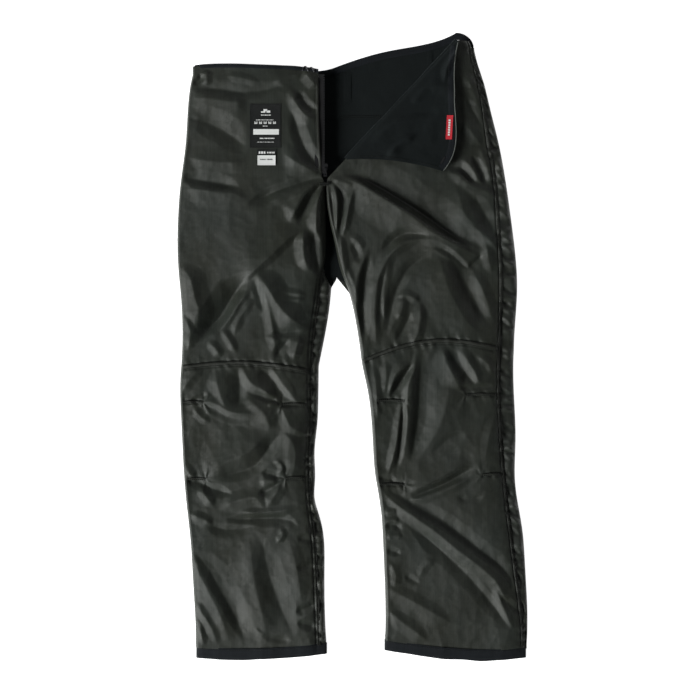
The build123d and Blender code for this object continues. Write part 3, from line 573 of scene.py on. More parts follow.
def right_z(x, y):
    """Height of the right front's lining."""
    inner, outer = at(RIGHT_INNER, y), at(RIGHT_OUTER, y)
    top = np.interp(y, (-580, -500, -300, -8, 200, 330, 560), (11, 15, 19, 23, 24.5, 24, 23))
    top = top - 8 * smooth((y - 10) / 90) * np.clip((x - inner) / 250, 0, 1)
    outer_z = np.interp(y, (-580, -480, 0, 300, 560), (5, 9, 13, 13, 15))
    inner_z = np.interp(y, (120, 300), (EDGE_Z, 22))
    rise = rounded(x - inner, EDGE_ROUND)
    fall = 1 - rounded(outer - x, 40)
    z = inner_z + (top - inner_z) * rise - (top - outer_z) * fall
    calm = smooth((x - inner) / 14 + smooth((y - 280) / 30))
    z = z + calm * relief(x, y, "right", 51, 0.45)
    z = z + pucker(outer - x, y, 9, 2.1, 71) - seam_dip(outer - x)
    z = z + calm * pucker(x - inner, y, 9, 2.0, 72) * smooth((130 - y) / 60)
    return np.maximum(z, EDGE_Z)


# ---- Meshes ----
def finish_mesh(name, points, faces, material, uv=None):
    """A smooth-shaded mesh object from points in millimetres."""
    mesh = bpy.data.meshes.new(name)
    points = np.asarray(points, float).reshape(-1, 3)
    mesh.from_pydata((points * MM).tolist(), [], [list(map(int, f)) for f in faces])
    layer = mesh.uv_layers.new(name="rest")
    loops = np.zeros(len(mesh.loops), np.int32)
    mesh.loops.foreach_get("vertex_index", loops)
    flat = (points[:, :2] if uv is None else np.asarray(uv).reshape(-1, 2)) * MM
    layer.data.foreach_set("uv", flat[loops].ravel())
    mesh.polygons.foreach_set("use_smooth", [True] * len(mesh.polygons))
    mesh.materials.append(material)
    mesh.update()
    made = bpy.data.objects.new(name, mesh)
    bpy.context.scene.collection.objects.link(made)
    return made


def grid_faces(rows, columns, closed=False, offset=0):
    """Quads of a grid of points; closed joins the last column to the first."""
    faces = []
    for i in range(rows - 1):
        for j in range(columns if closed else columns - 1):
            k = (j + 1) % columns
            a, b = offset + i * columns, offset + (i + 1) * columns
            faces.append((a + j, a + k, b + k, b + j))
    return faces


def cloth(name, x, y, z, material):
    """A sheet from a grid of points; UVs keep the flat place of each."""
    return finish_mesh(name, np.stack([x, y, z], -1), grid_faces(*x.shape), material)


def joined(name, grids, material):
    """One mesh from several grids of points, each (x, y, z)."""
    points, faces = [], []
    for x, y, z in grids:
        faces += grid_faces(*x.shape, offset=len(points))
        points += list(np.stack([x, y, z], -1).reshape(-1, 3))
    return finish_mesh(name, points, faces, material)


def leg_grid(left, right, low, high, step_x, step_y, trim=0.0):
    """X and Y of a grid between two outlines; low and high give the ends at each X."""
    centre = float(at(left, 0.0) + at(right, 0.0)) / 2
    middle = float(high(centre)) if callable(high) else high
    bottom = float(low(centre)) if callable(low) else low
    width = np.max(at(right, YS) - at(left, YS))
    columns = int(width / step_x) + 1
    rows = int((middle - bottom) / step_y) + 1
    t = np.linspace(0, 1, columns)
    u = 0.6 * t + 0.4 * (0.5 - 0.5 * np.cos(np.pi * t))
    x_top = at(left, middle) + (at(right, middle) - at(left, middle)) * u
    x_low = at(left, bottom) + (at(right, bottom) - at(left, bottom)) * u
    y_top = high(x_top) if callable(high) else np.full(columns, high)
    y_low = low(x_low) if callable(low) else np.full(columns, low)
    v = np.linspace(0, 1, rows)[:, None]
    y = y_low[None] * (1 - v) + y_top[None] * v
    x = at(left, y) + trim + (at(right, y) - at(left, y) - 2 * trim) * u[None]
    return x, y


def node_edge(name, highest, shift=0.0):
    """A function of X that gives a node's highest or lowest Y there."""
    low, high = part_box(name)
    xs = np.linspace(low.x / MM, high.x / MM, 80)
    lows, highs = span((name,), xs, across=0)
    line = highs if highest else lows
    return lambda x: np.interp(x, xs, line) + shift


def strip(name, left, right, low, high, height, material, columns=12, step_y=2.0):
    """A narrow sheet between two outlines; height takes Y and the share across."""
    rows = int((high - low) / step_y) + 1
    y = np.linspace(low, high, rows)[:, None] * np.ones((1, columns))
    u = np.linspace(0, 1, columns)[None] * np.ones((rows, 1))
    x = at(left, y) + (at(right, y) - at(left, y)) * u
    return cloth(name, x, y, height(y, u), material)


# ---- Materials ----
def new_material(name):
    """An empty node material, its tree and its shader."""
    material = bpy.data.materials.new(name)
    material.use_nodes = True
    tree = material.node_tree
    return material, tree, tree.nodes["Principled BSDF"]


def add(tree, kind, **values):
    """A node with some of its inputs or properties set."""
    node = tree.nodes.new(kind)
    for key, value in values.items():
        if key in node.inputs:
            node.inputs[key].default_value = value
        else:
            setattr(node, key, value)
    return node


def scaled_uv(tree, scale, use_uv=True):
    """Texture coordinates in metres times scale."""
    source = add(tree, "ShaderNodeTexCoord")
    place = add(tree, "ShaderNodeMapping")
    place.inputs["Scale"].default_value = scale
    tree.links.new(source.outputs["UV" if use_uv else "Object"], place.inputs["Vector"])
    return place.outputs["Vector"]


def noise_map(tree, scale, detail=3.0, rough=0.55, use_uv=True):
    """A noise texture's value, its size set by scale."""
    node = add(tree, "ShaderNodeTexNoise", Scale=1.0, Detail=detail, Roughness=rough)
    tree.links.new(scaled_uv(tree, scale, use_uv), node.inputs["Vector"])
    return node.outputs["Fac"]


def ramp(tree, value, stops):
    """A colour ramp over a value: (place, grey or colour)."""
    node = add(tree, "ShaderNodeValToRGB")
    tree.links.new(value, node.inputs["Fac"])
    line = node.color_ramp
    while len(line.elements) < len(stops):
        line.elements.new(0.5)
    for element, (place, shade) in zip(line.elements, stops):
        element.position = place
        colour = (shade,) * 3 if isinstance(shade, (int, float)) else shade
        element.color = (*colour, 1)
    return node.outputs["Color"]


def blend_colour(tree, kind, share, a, b):
    """Mixes two colours; share is a number or a socket."""
    node = add(tree, "ShaderNodeMix", data_type="RGBA", blend_type=kind)
    for value, key in ((share, 0), (a, 6), (b, 7)):
        socket = node.inputs[key]
        if isinstance(value, bpy.types.NodeSocket):
            tree.links.new(value, socket)
        else:
            socket.default_value = value
    return node.outputs[2]


BAND_PERIOD = 0.628  # a wave texture's bands repeat after this much of its unit


def fabric(name, colour, weave, rough, sheen, spread=0.18, slub=0.3, depth=0.25, use_uv=True,
           anisotropic=0.0, sheen_tint=(1, 1, 1), specular=0.12, other=None,
           streak=0.0):
    """A woven cloth: threads at a weave pitch in millimetres, slubs, stains and sheen."""
    material, tree, shader = new_material(name)
    link = tree.links.new
    pitch = 1000 / weave
    threads = []
    for axis in ((pitch, 0, 0), (0, pitch, 0)):
        wave = add(tree, "ShaderNodeTexWave", wave_type="BANDS", bands_direction="DIAGONAL",
                   wave_profile="SIN", Scale=1.0, Distortion=0.6, Detail=1.0)
        wave.inputs["Detail Scale"].default_value = 0.4
        link(scaled_uv(tree, [v * BAND_PERIOD for v in axis], use_uv), wave.inputs["Vector"])
        threads.append(wave.outputs["Fac"])
    join = add(tree, "ShaderNodeMath", operation="ADD")
    link(threads[0], join.inputs[0])
    link(threads[1], join.inputs[1])
    slubs = noise_map(tree, (900 / weave, 26, 26), 4.0, 0.6, use_uv)
    cross = noise_map(tree, (30, 700 / weave, 30), 3.0, 0.6, use_uv)
    patches = noise_map(tree, (9, 7, 9), 4.0, 0.6, use_uv)
    low = [c * (1 - spread) for c in colour]
    high = [c * (1 + spread) for c in other or colour]
    base = ramp(tree, patches, [(0.3, low), (0.7, high)])
    streaks = ramp(tree, slubs, [(0.3, 1 - slub), (0.7, 1 + slub * 0.4)])
    weft = ramp(tree, cross, [(0.3, 1 - slub * 0.5), (0.7, 1 + slub * 0.2)])
    mixed = blend_colour(tree, "MULTIPLY", 1.0, base, streaks)
    mixed = blend_colour(tree, "MULTIPLY", 1.0, mixed, weft)
    gloss = ramp(tree, patches, [(0.25, rough - 0.06), (0.75, rough + 0.07)])
    if streak:
        lines = noise_map(tree, (330, 7, 7), 5.0, 0.7, use_uv)
        mixed = blend_colour(tree, "MULTIPLY", 1.0, mixed,
                             ramp(tree, lines, [(0.3, 1 - streak), (0.7, 1 + streak)]))
        gloss = blend_colour(tree, "MULTIPLY", 1.0, gloss,
                             ramp(tree, lines, [(0.3, 1 + streak * 0.6), (0.7, 1 - streak * 0.6)]))
    link(mixed, shader.inputs["Base Color"])
    link(gloss, shader.inputs["Roughness"])
    bump = add(tree, "ShaderNodeBump", Strength=depth, Distance=0.0004)
    link(join.outputs[0], bump.inputs["Height"])
    second = add(tree, "ShaderNodeBump", Strength=depth * 0.8, Distance=0.0006)
    link(slubs, second.inputs["Height"])
    link(bump.outputs["Normal"], second.inputs["Normal"])
    link(second.outputs["Normal"], shader.inputs["Normal"])
    shader.inputs["Sheen Weight"].default_value = sheen
    shader.inputs["Sheen Roughness"].default_value = 0.45
    shader.inputs["Sheen Tint"].default_value = (*sheen_tint, 1)
    shader.inputs["Specular IOR Level"].default_value = specular
    shader.inputs["Anisotropic"].default_value = anisotropic
    return material


def hard(name, colour, rough, metallic=0.0, spread=0.15, scale=180.0):
    """Moulded plastic or lacquered metal with a fine grain and rubbed patches."""
    material, tree, shader = new_material(name)
    link = tree.links.new
    grain = noise_map(tree, (scale * 12,) * 3, 2.0, 0.5, False)
    rubs = noise_map(tree, (scale,) * 3, 4.0, 0.65, False)
    low = [c * (1 - spread) for c in colour]
    high = [min(1, c * (1 + 2 * spread) + 0.01) for c in colour]
    link(ramp(tree, rubs, [(0.35, low), (0.75, high)]), shader.inputs["Base Color"])
    link(ramp(tree, rubs, [(0.3, rough + 0.08), (0.8, rough - 0.08)]), shader.inputs["Roughness"])
    bump = add(tree, "ShaderNodeBump", Strength=0.15, Distance=0.0002)
    link(grain, bump.inputs["Height"])
    link(bump.outputs["Normal"], shader.inputs["Normal"])
    shader.inputs["Metallic"].default_value = metallic
    return material


LINING = fabric("lining_satin", (0.0252, 0.0272, 0.0204), 0.53, 0.48, 0.03, spread=0.03, slub=0.28,
                depth=0.22, anisotropic=0.3, sheen_tint=(0.9, 0.95, 0.85), specular=0.33,
                other=(0.0224, 0.0272, 0.0228), streak=0.2)
# The lining again, made darker: painted shade that makes the felled seams, knee seams, dart tucks
# and fly facing read as dark lines.
SEAM_SHADE_LINING = fabric("lining_painted_seam_shade", (0.0190, 0.0212, 0.0165), 0.5, 0.50, 0.03, spread=0.10, slub=0.3,
               depth=0.25, sheen_tint=(0.9, 0.95, 0.85), specular=0.3)
SHELL = fabric("shell_black", (0.0070, 0.0094, 0.0098), 0.7, 0.80, 0.06, spread=0.12, slub=0.2,
               depth=0.3, sheen_tint=(0.8, 0.95, 1.0))
TRIM = fabric("trim_blue_black", (0.0092, 0.0113, 0.0139), 1.1, 0.70, 0.08, spread=0.1, slub=0.35,
              depth=0.4, sheen_tint=(0.8, 0.9, 1.0))
SEAM = fabric("seam_tape", (0.022, 0.024, 0.020), 0.6, 0.5, 0.2, depth=0.25)
FIBRE = fabric("pack_fibre", (0.62, 0.60, 0.54), 2.2, 0.85, 0.5, spread=0.1, slub=0.5, depth=0.8)
LABEL = fabric("label_satin", (0.012, 0.013, 0.013), 0.35, 0.42, 0.05, depth=0.2, specular=0.3)
WHITE = fabric("label_white", (0.80, 0.81, 0.80), 0.35, 0.5, 0.1, spread=0.03, slub=0.08,
               depth=0.15)
RED = fabric("tab_red", (0.62, 0.035, 0.05), 0.6, 0.55, 0.25, spread=0.05, slub=0.12, depth=0.3)
THREAD = fabric("thread_dark", (0.006, 0.0075, 0.006), 0.25, 0.7, 0.05, use_uv=False, specular=0.2)
TAPE = fabric("zip_tape_black", (0.012, 0.012, 0.013), 0.6, 0.7, 0.3, use_uv=False)
TEETH = hard("zip_teeth_black", (0.02, 0.02, 0.022), 0.4)
METAL = hard("metal_black", (0.04, 0.04, 0.043), 0.48, metallic=0.9)
PIPING = fabric("piping_grey", (0.125, 0.135, 0.125), 0.5, 0.55, 0.2, spread=0.15, slub=0.3,
                use_uv=False)


# ---- Putting pieces on their bodies ----
LEGS = {
    "left": ("left_lower_leg", LEFT_KNEE, -190.0),
    "right": ("right_lower_leg", RIGHT_KNEE, 150.0),
}


def bend(piece):
    """Bakes a piece's transform into its mesh."""
    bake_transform(piece)


def place(piece, body, slot, *nodes):
    """Rides a piece on a body, or bakes its transform for the left or right leg; hides the nodes it
    replaces.
    """
    if nodes:
        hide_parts(*nodes)
    if body in LEGS:
        bend(piece)
    else:
        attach(piece, body)
    return piece


# ---- Front linings ----
LEFT_WAIST = node_edge("left_thigh_lining", True, 11)
FRONTS = {
    # leg: the outlines to the left and right of its front, its lowest and its highest Y
    "left": (LEFT_SIDE, LEFT_INNER, node_edge("left_lower_lining", False, -2), LEFT_WAIST),
    "right": (RIGHT_INNER, RIGHT_OUTER, node_edge("right_lower_lining", False, -2), 566.0),
}
HEIGHTS = {"left": left_z, "right": right_z}
for leg, (left, right, low, high) in FRONTS.items():
    x, y = leg_grid(left, right, low, high, 1.7, 1.9)
    piece = cloth(leg + "_front_lining", x, y, HEIGHTS[leg](x, y), LINING)
    place(piece, leg, "lining_cloth", leg + "_thigh_lining", leg + "_lower_lining")

# ---- Rolled edges of the back lining beside two seams ----
ROLL_NODE_TOP = 106  # the left roll's node ends here
ROLL_TOP = 152.0  # and the roll narrows to nothing above it
LEFT_ROLL = outline(("left_inseam_roll_upper", "left_inseam_roll_lower"), (-546, -546),
                    (ROLL_NODE_TOP, ROLL_NODE_TOP))[1]
narrow = smooth((ROLL_TOP - YS) / (ROLL_TOP - ROLL_NODE_TOP))
LEFT_ROLL = np.where(YS > ROLL_NODE_TOP, LEFT_INNER + (LEFT_ROLL - LEFT_INNER) * narrow, LEFT_ROLL)
RIGHT_ROLL = outline(("right_outseam_roll_upper", "right_outseam_roll_lower"), (-553, -553),
                     (552, 552))[1]


def left_roll_z(y, u):
    """The left inseam's rolled edge falls from the seam to the side."""
    top = left_z(at(LEFT_INNER, y), y)
    low = EDGE_Z + 2.8 * smooth((y - 98) / 12)
    z = low + (top - low) * rounded(1 - u, 0.5)
    ripple = noise(u * 3, y, 8, 91) * 2.4 + noise(u * 2, y, 21, 92) * 2.2
    return z + ripple * np.sin(np.pi * u)


def right_roll_z(y, u):
    """The right outseam's rolled edge, with puckers and two soft billows."""
    top = right_z(at(RIGHT_OUTER, y), y)
    z = EDGE_Z + (top - EDGE_Z) * rounded(1 - u, 0.5)
    ripple = noise(u * 4, y + 14 * u, 9, 93) * 2.7 + noise(u * 3, y - 10 * u, 27, 94) * 3.4
    return z + ripple * np.sin(np.pi * u)


piece = strip("left_inseam_roll", LEFT_INNER, LEFT_ROLL, -556, ROLL_TOP - 4, left_roll_z, LINING)
place(piece, "left", "lining_cloth", "left_inseam_roll_upper", "left_inseam_roll_lower")
piece = strip("right_outseam_roll", RIGHT_OUTER, RIGHT_ROLL, -562, 554, right_roll_z, LINING,
              columns=16)
place(piece, "right", "lining_cloth", "right_outseam_roll_upper", "right_outseam_roll_lower")


# ---- Back linings and shells ----
CROTCH = 128.0  # the centre back seam ends here
BACK_STEP = 4.0  # the pitch of a back panel's grid
BACKS = {"left": LEFT_BACK, "right": RIGHT_BACK}
BACK_LOWS = {leg: node_edge(leg + "_lower_back_lining", False, -4) for leg in LEGS}
BACK_TOPS = {leg: node_edge(leg + "_back_lining", True, 4) for leg in LEGS}
YOKE_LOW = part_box("left_yoke_shell")[0].y / MM


def back_sheet(leg, name, low, high, base, ripple, seed, material, trim=0.0):
    """A back panel: nearly flat, with a slight wave; its inner edge reaches the centre back."""
    left, right = BACKS[leg][0] + trim, BACKS[leg][1] - trim
    if leg == "left":
        right = np.where(YS > CROTCH, BACKS[leg][1] + 0.6, right)
    else:
        left = np.where(YS > CROTCH, BACKS[leg][0] - 0.6, left)
        seed += 2
    x, y = leg_grid(left, right, low, high, BACK_STEP, BACK_STEP)
    z = base + ripple * (0.5 + 0.5 * noise(x, y, 45, seed)) + 0.3 * noise(x, y, 14, seed + 1)
    return cloth(leg + name, x, y, z, material)


for leg in LEGS:
    piece = back_sheet(leg, "_back_lining_cloth", BACK_LOWS[leg], BACK_TOPS[leg], 0.35, 0.5, 101,
                       LINING)
    place(piece, leg, "lining_cloth", leg + "_back_lining", leg + "_lower_back_lining")
for leg in LEGS:
    piece = back_sheet(leg, "_back_shell_cloth", BACK_LOWS[leg], YOKE_LOW + 6, 1.9, 0.8, 105,
                       SHELL, 1.5)
    place(piece, leg, "shell_cloth", leg + "_back_shell", leg + "_lower_back_shell")
for leg in LEGS:
    piece = back_sheet(leg, "_yoke_cloth", YOKE_LOW, BACK_TOPS[leg], 3.1, 0.8, 109, SHELL, 1.5)
    place(piece, "trousers", "shell_cloth", leg + "_yoke_shell")

# ---- Front shells and packs, hidden between the linings ----
SHELL_TOPS = {"left": LEFT_WAIST, "right": 562.0}
SHELL_DROP = 7.0  # how far under the lining the shell lies
SHELL_FLOOR = 3.4
PACK_ENDS = {"left": (-519, 476), "right": (-505, 500)}
PACK_DROP = 2.2
PACK_THICK = 3.4
PACK_CHANNEL = 46  # the distance between two sewn channels
for leg, (left, right, low, high) in FRONTS.items():
    x, y = leg_grid(left, right, low, SHELL_TOPS[leg], 5, 5, 3.0)
    z = np.maximum(HEIGHTS[leg](x, y) - SHELL_DROP, SHELL_FLOOR)
    piece = cloth(leg + "_front_shell", x, y, z, SHELL)
    place(piece, leg, "shell_cloth", leg + "_thigh_shell", leg + "_lower_shell")


def pack(name, left, right, low, high, height):
    """A quilted pack of fibre layers: a closed pad with sewn channels."""
    x, y = leg_grid(left, right, low, high, 4, 4, 15.0)
    top = height(x, y) - PACK_DROP
    rows, columns = x.shape
    from_channel = np.abs((x + y * 0.15) % PACK_CHANNEL - PACK_CHANNEL / 2)
    channel = np.minimum(from_channel / 5, 1) ** 0.5
    rim = np.ones(x.shape)
    for k, lift in enumerate((0.0, 0.55, 0.85)):
        rim[k, :] = rim[-1 - k, :] = np.minimum(rim[k, :], lift)
        rim[:, k] = rim[:, -1 - k] = np.minimum(rim[:, k], lift)
    half = PACK_THICK / 2 * rim * (0.45 + 0.55 * channel)
    middle = top - PACK_THICK / 2
    upper = np.stack([x, y, middle + half], -1).reshape(-1, 3)
    lower = np.stack([x, y, middle - half], -1).reshape(-1, 3)
    inner = np.ones((rows, columns), bool)
    inner[0] = inner[-1] = inner[:, 0] = inner[:, -1] = False
    index = np.arange(rows * columns)
    other = np.where(inner.ravel(), index + rows * columns, index)
    faces = grid_faces(rows, columns)
    faces += [tuple(int(other[k]) for k in reversed(face)) for face in grid_faces(rows, columns)]
    used = np.unique(np.concatenate([index, other]))
    renumber = np.full(2 * rows * columns, -1)
    renumber[used] = np.arange(len(used))
    points = np.concatenate([upper, lower])[used]
    faces = [tuple(int(renumber[k]) for k in face) for face in faces]
    return finish_mesh(name, points, faces, FIBRE)


for leg, (left, right, *_) in FRONTS.items():
    piece = pack(leg + "_fibre_pack", left, right, *PACK_ENDS[leg], HEIGHTS[leg])
    place(piece, leg, "pack_fibre", leg + "_thigh_pack", leg + "_lower_pack")


# ---- Sewing: seam tapes, stitches and edges ----
def resample(line, pitch):
    """Points at an even pitch along a line, with their directions."""
    steps = np.hypot(*np.diff(line, axis=0).T)
    run = np.concatenate([[0], np.cumsum(steps)])
    count = max(int(run[-1] / pitch), 2)
    spots = (np.arange(count) + 0.5) * run[-1] / count
    x, y = np.interp(spots, run, line[:, 0]), np.interp(spots, run, line[:, 1])
    ahead = np.stack([np.interp(spots + 1, run, side) - np.interp(spots - 1, run, side)
                      for side in line.T], -1)
    return x, y, ahead / np.maximum(np.hypot(*ahead.T), 1e-6)[:, None]


def stitches(name, lines, height, material, pitch=3.4, length=2.5, thick=0.75, lift=0.25):
    """Rows of thread stitches that lie on a surface: each is a small spindle."""
    points, faces = [], []
    rings = ((-0.5, 0.25), (-0.3, 0.9), (0, 1), (0.3, 0.9), (0.5, 0.25))
    for line in lines:
        x, y, way = resample(np.asarray(line, float), pitch)
        z = height(x, y) + lift
        ends = [height(x + way[:, 0] * length * s, y + way[:, 1] * length * s) + lift
                for s in (-0.5, 0.5)]
        for k in range(len(x)):
            slope = (ends[1][k] - ends[0][k]) / length
            side = np.array([-way[k, 1], way[k, 0], 0])
            start = len(points)
            for share, size in rings:
                step = length * share
                centre = np.array([x[k] + way[k, 0] * step, y[k] + way[k, 1] * step,
                                   z[k] + slope * step])
                for turn in range(6):
                    angle = math.tau * turn / 6
                    points.append(centre + (side * math.cos(angle) * thick * 0.5 * size)
                                  + np.array([0, 0, math.sin(angle) * thick * 0.42 * size]))
            faces += grid_faces(len(rings), 6, True, start)
            faces.append(tuple(start + 5 - k for k in range(6)))
            faces.append(tuple(start + 6 * (len(rings) - 1) + k for k in range(6)))
    return finish_mesh(name, points, faces, material)


def flat(level):
    """A height function that is the same everywhere."""
    return lambda x, y: np.full(np.shape(x), level)


def offset_line(line, gap):
    """A line moved sideways, to the left of its travel."""
    line = np.asarray(line, float)
    way = np.gradient(line, axis=0)
    way /= np.maximum(np.hypot(*way.T), 1e-6)[:, None]
    return line + np.stack([-way[:, 1], way[:, 0]], -1) * gap


def ribbon(name, line, width, height, material, crown=0.6, across=7, pitch=2.0, edge=0.0):
    """A tape along a line that lies on a surface, with a rounded back."""
    x, y, way = resample(np.asarray(line, float), pitch)
    v = np.linspace(-1, 1, across)[None]
    px = x[:, None] - way[:, 1:2] * v * width / 2
    py = y[:, None] + way[:, 0:1] * v * width / 2
    pz = height(px, py) + crown * np.sqrt(np.maximum(1 - v * v, 0)) ** 0.7 + edge
    return cloth(name, px, py, pz, material)


def tube(name, points, radius, material):
    """A round cord through dense points in millimetres."""
    p = np.asarray(points, float)
    way = np.gradient(p, axis=0)
    way /= np.maximum(np.linalg.norm(way, axis=1), 1e-6)[:, None]
    across = np.cross(way, (0, 0, 1.0))
    across /= np.maximum(np.linalg.norm(across, axis=1), 1e-6)[:, None]
    up = np.cross(across, way)
    size = np.full(len(p), radius) * np.sqrt(np.minimum(np.minimum(
        np.arange(len(p)), np.arange(len(p))[::-1]) / 2 + 0.15, 1))
    sides = 8
    ring = np.arange(sides) * math.tau / sides
    made = p[:, None] + size[:, None, None] * (across[:, None] * np.cos(ring)[None, :, None]
                                               + up[:, None] * np.sin(ring)[None, :, None])
    faces = grid_faces(len(p), sides, True)
    faces.append(tuple(sides - 1 - k for k in range(sides)))
    faces.append(tuple((len(p) - 1) * sides + k for k in range(sides)))
    return finish_mesh(name, made.reshape(-1, 3), faces, material)


# ---- Seams along the legs ----
def side_line(side, gap, low, high):
    """A line beside an outline, from low to high."""
    y = np.arange(low, high, 3.0)
    return np.stack([at(side, y) + gap, y], -1)


FELLED = (
    # leg, seam, outline, the line's gap from it, its ends, width and crown of the seam, then
    # the stitch rows' distance from its middle, their lift and their thickness
    ("left", "left_inseam", LEFT_INNER, 1.5, (-556, ROLL_TOP - 6), 6.5, 0.9, 1.9, 0.75, 1.3),
    ("right", "right_outseam", RIGHT_OUTER, -1.0, (-558, 552), 7.0, 1.1, 2.0, 0.95, 1.4),
)


def seam_level(leg, side, lift=0.0):
    """The lining's height over a felled seam, level with the outline beyond it."""
    return lambda x, y: HEIGHTS[leg](np.minimum(x, at(side, y)), y) + lift


for leg, name, side, gap, ends, width, crown, apart, lift, thick in FELLED:
    line = side_line(side, gap, *ends)
    # The felled seam takes the darker lining, which is painted seam shade.
    piece = ribbon(name + "_felled_seam", line, width, seam_level(leg, side), SEAM_SHADE_LINING, crown)
    place(piece, leg, "lining_cloth")
    rows = [offset_line(line, apart), offset_line(line, -apart)]
    piece = stitches(name + "_stitches", rows, seam_level(leg, side, lift), THREAD, thick=thick)
    place(piece, leg, "thread")

TAPES = {
    # seam: leg, outline, the tape's two edges beside it, its ends and its height
    "left_outseam": ("left", LEFT_SIDE, 0.4, 7.5, -556, 512, 1.2),
    "left_inseam": ("left", LEFT_INNER, -9.0, -1.5, -550, 108, 2.4),
    "right_inseam": ("right", RIGHT_INNER, 0.4, 7.5, -550, 110, 1.2),
    "right_outseam": ("right", RIGHT_OUTER, -9.0, -1.5, -556, 548, 2.4),
}
for name, (leg, side, inner, outer, low, high, level) in TAPES.items():
    y = np.arange(low, high, 4.0)[:, None] * np.ones((1, 4))
    x = at(side, y) + np.linspace(inner, outer, 4)[None]
    piece = cloth(name + "_tape", x, y, np.full(x.shape, level), SEAM)
    place(piece, leg, "seam_cloth", name + "_upper", name + "_lower")


# ---- Knee seams and darts ----
def dart_tuck(line, height):
    """A dart's raised fold, pointed at both ends, as a grid."""
    x, y, way = resample(line, 1.5)
    v = np.linspace(-1, 1, 7)[None]
    taper = np.sin(np.linspace(0.15, np.pi - 0.15, len(x)))[:, None] ** 0.5
    px = x[:, None] - way[:, 1:2] * v * 3.0 * taper
    py = y[:, None] + way[:, 0:1] * v * 3.0 * taper
    return px, py, height(px, py) + 0.15 + 1.5 * np.sqrt(1 - v * v) * taper


for leg, line in KNEE_LINES.items():
    height = HEIGHTS[leg]
    # The knee seam and the dart tucks take the darker lining, which is painted seam shade.
    piece = ribbon(leg + "_knee_seam_ridge", line, 8.5, height, SEAM_SHADE_LINING, 1.3, 9)
    place(piece, leg, "lining_cloth", leg + "_knee_seam")
    rows = [offset_line(line, 3.2), offset_line(line, -3.2)]
    piece = stitches(leg + "_knee_stitches", rows, lambda x, y: height(x, y) + 1.15, THREAD,
                     thick=1.5)
    place(piece, leg, "thread")
    piece = joined(leg + "_dart_tucks", [dart_tuck(dart, height) for dart in DARTS[leg]], SEAM_SHADE_LINING)
    place(piece, leg, "lining_cloth", leg + "_knee_darts")
    rows = [offset_line(dart, gap) for dart in DARTS[leg] for gap in (1.7, -1.7)]
    piece = stitches(leg + "_dart_stitches", rows, lambda x, y: height(x, y) + 1.4, THREAD,
                     thick=1.6)
    place(piece, leg, "thread")


# ---- Hem bands ----
BAND_FLOOR = 2.0  # the height of the band's front at its two sides
BAND_LEAST, BAND_MOST = 3.5, 17  # how far the band's front stands open


def hem_band(leg, left, right, height):
    """A turned band round a leg's end: outside, folded edge and inside."""
    node = leg + "_hem_band"
    top, low = node_edge(node, True), node_edge(node, False)
    box_low, box_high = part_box(node)
    x0, x1 = box_low.x / MM + 0.3, box_high.x / MM - 0.3
    around = 150
    turn = np.arange(around) / around
    # The first part of a turn crosses the front from left to right, the rest comes back behind.
    front = turn < 0.5
    t = np.where(front, turn * 2, 2 - turn * 2)
    t = 0.55 * t + 0.45 * (0.5 - 0.5 * np.cos(np.pi * t))
    x = x0 + (x1 - x0) * t
    y_top, y_low = top(x), low(x)
    share = np.concatenate([np.linspace(0, 1, 12), np.linspace(1, 0, 10)])
    inside = np.concatenate([np.zeros(12), np.ones(10)])
    curve = np.sqrt(np.maximum(np.sin(np.pi * np.clip(t, 0, 1)), 0)) ** 0.55

    def opened(x, y, v):
        """How high the band's front stands at a share v of the way down."""
        level = height(np.clip(x, at(left, y) + 5, at(right, y) - 5), np.maximum(y, top(x) + 1))
        return level * (1 - 0.3 * v) + 2.0

    rows = []
    for v, within in zip(share, inside):
        y = y_top + (y_low - y_top) * v
        y = y + 1.0 * noise(x, y * 0 + v * 4, 34, 201) * v
        open_z = opened(x, y, v) + 0.9 * noise(x, y, 26, 202) * v
        open_z = np.minimum(open_z, BAND_MOST) - 1.3 * within
        front_z = BAND_FLOOR + (np.maximum(open_z, BAND_LEAST) - BAND_FLOOR) * curve
        back_z = 0.25 + 1.2 * within + 0.4 * (1 + noise(x, y, 30, 203)) * curve * 0.5
        z = np.where(front, front_z, back_z)
        edge = np.exp(-((v - 1.0) / 0.08) ** 2) if not within else 0
        z = np.where(front, z - 0.5 * edge, z + 0.2 * edge)
        squeeze = (x0 + x1) / 2 + (x - (x0 + x1) / 2) * (1 - 0.004 * within)
        rows.append(np.stack([squeeze, y, z], -1))
    points = np.array(rows)
    uv = np.stack([np.broadcast_to(turn * 2 * (x1 - x0), points.shape[:2]), points[:, :, 1]], -1)
    faces = grid_faces(len(rows), around, True)
    piece = finish_mesh(leg + "_hem_turnup", points.reshape(-1, 3), faces, TRIM, uv)
    place(piece, leg + "_lower_leg", "trim_cloth", node)
    line = np.stack([np.linspace(x0 + 6, x1 - 6, 80)] * 2, -1)
    line[:, 1] = top(line[:, 0]) - 3.2

    def on_band(x, y):
        """The band's height under its row of stitches."""
        t = np.clip((x - x0) / (x1 - x0), 0, 1)
        rise = np.maximum(np.minimum(opened(x, y, 0.15), BAND_MOST), BAND_LEAST) - BAND_FLOOR
        return BAND_FLOOR + rise * np.sqrt(np.maximum(np.sin(np.pi * t), 0)) ** 0.55

    piece = stitches(leg + "_hem_stitches", [line], on_band, THREAD, lift=0.7)
    place(piece, leg + "_lower_leg", "thread")


for leg, (left, right, *_) in FRONTS.items():
    hem_band(leg, left, right, HEIGHTS[leg])


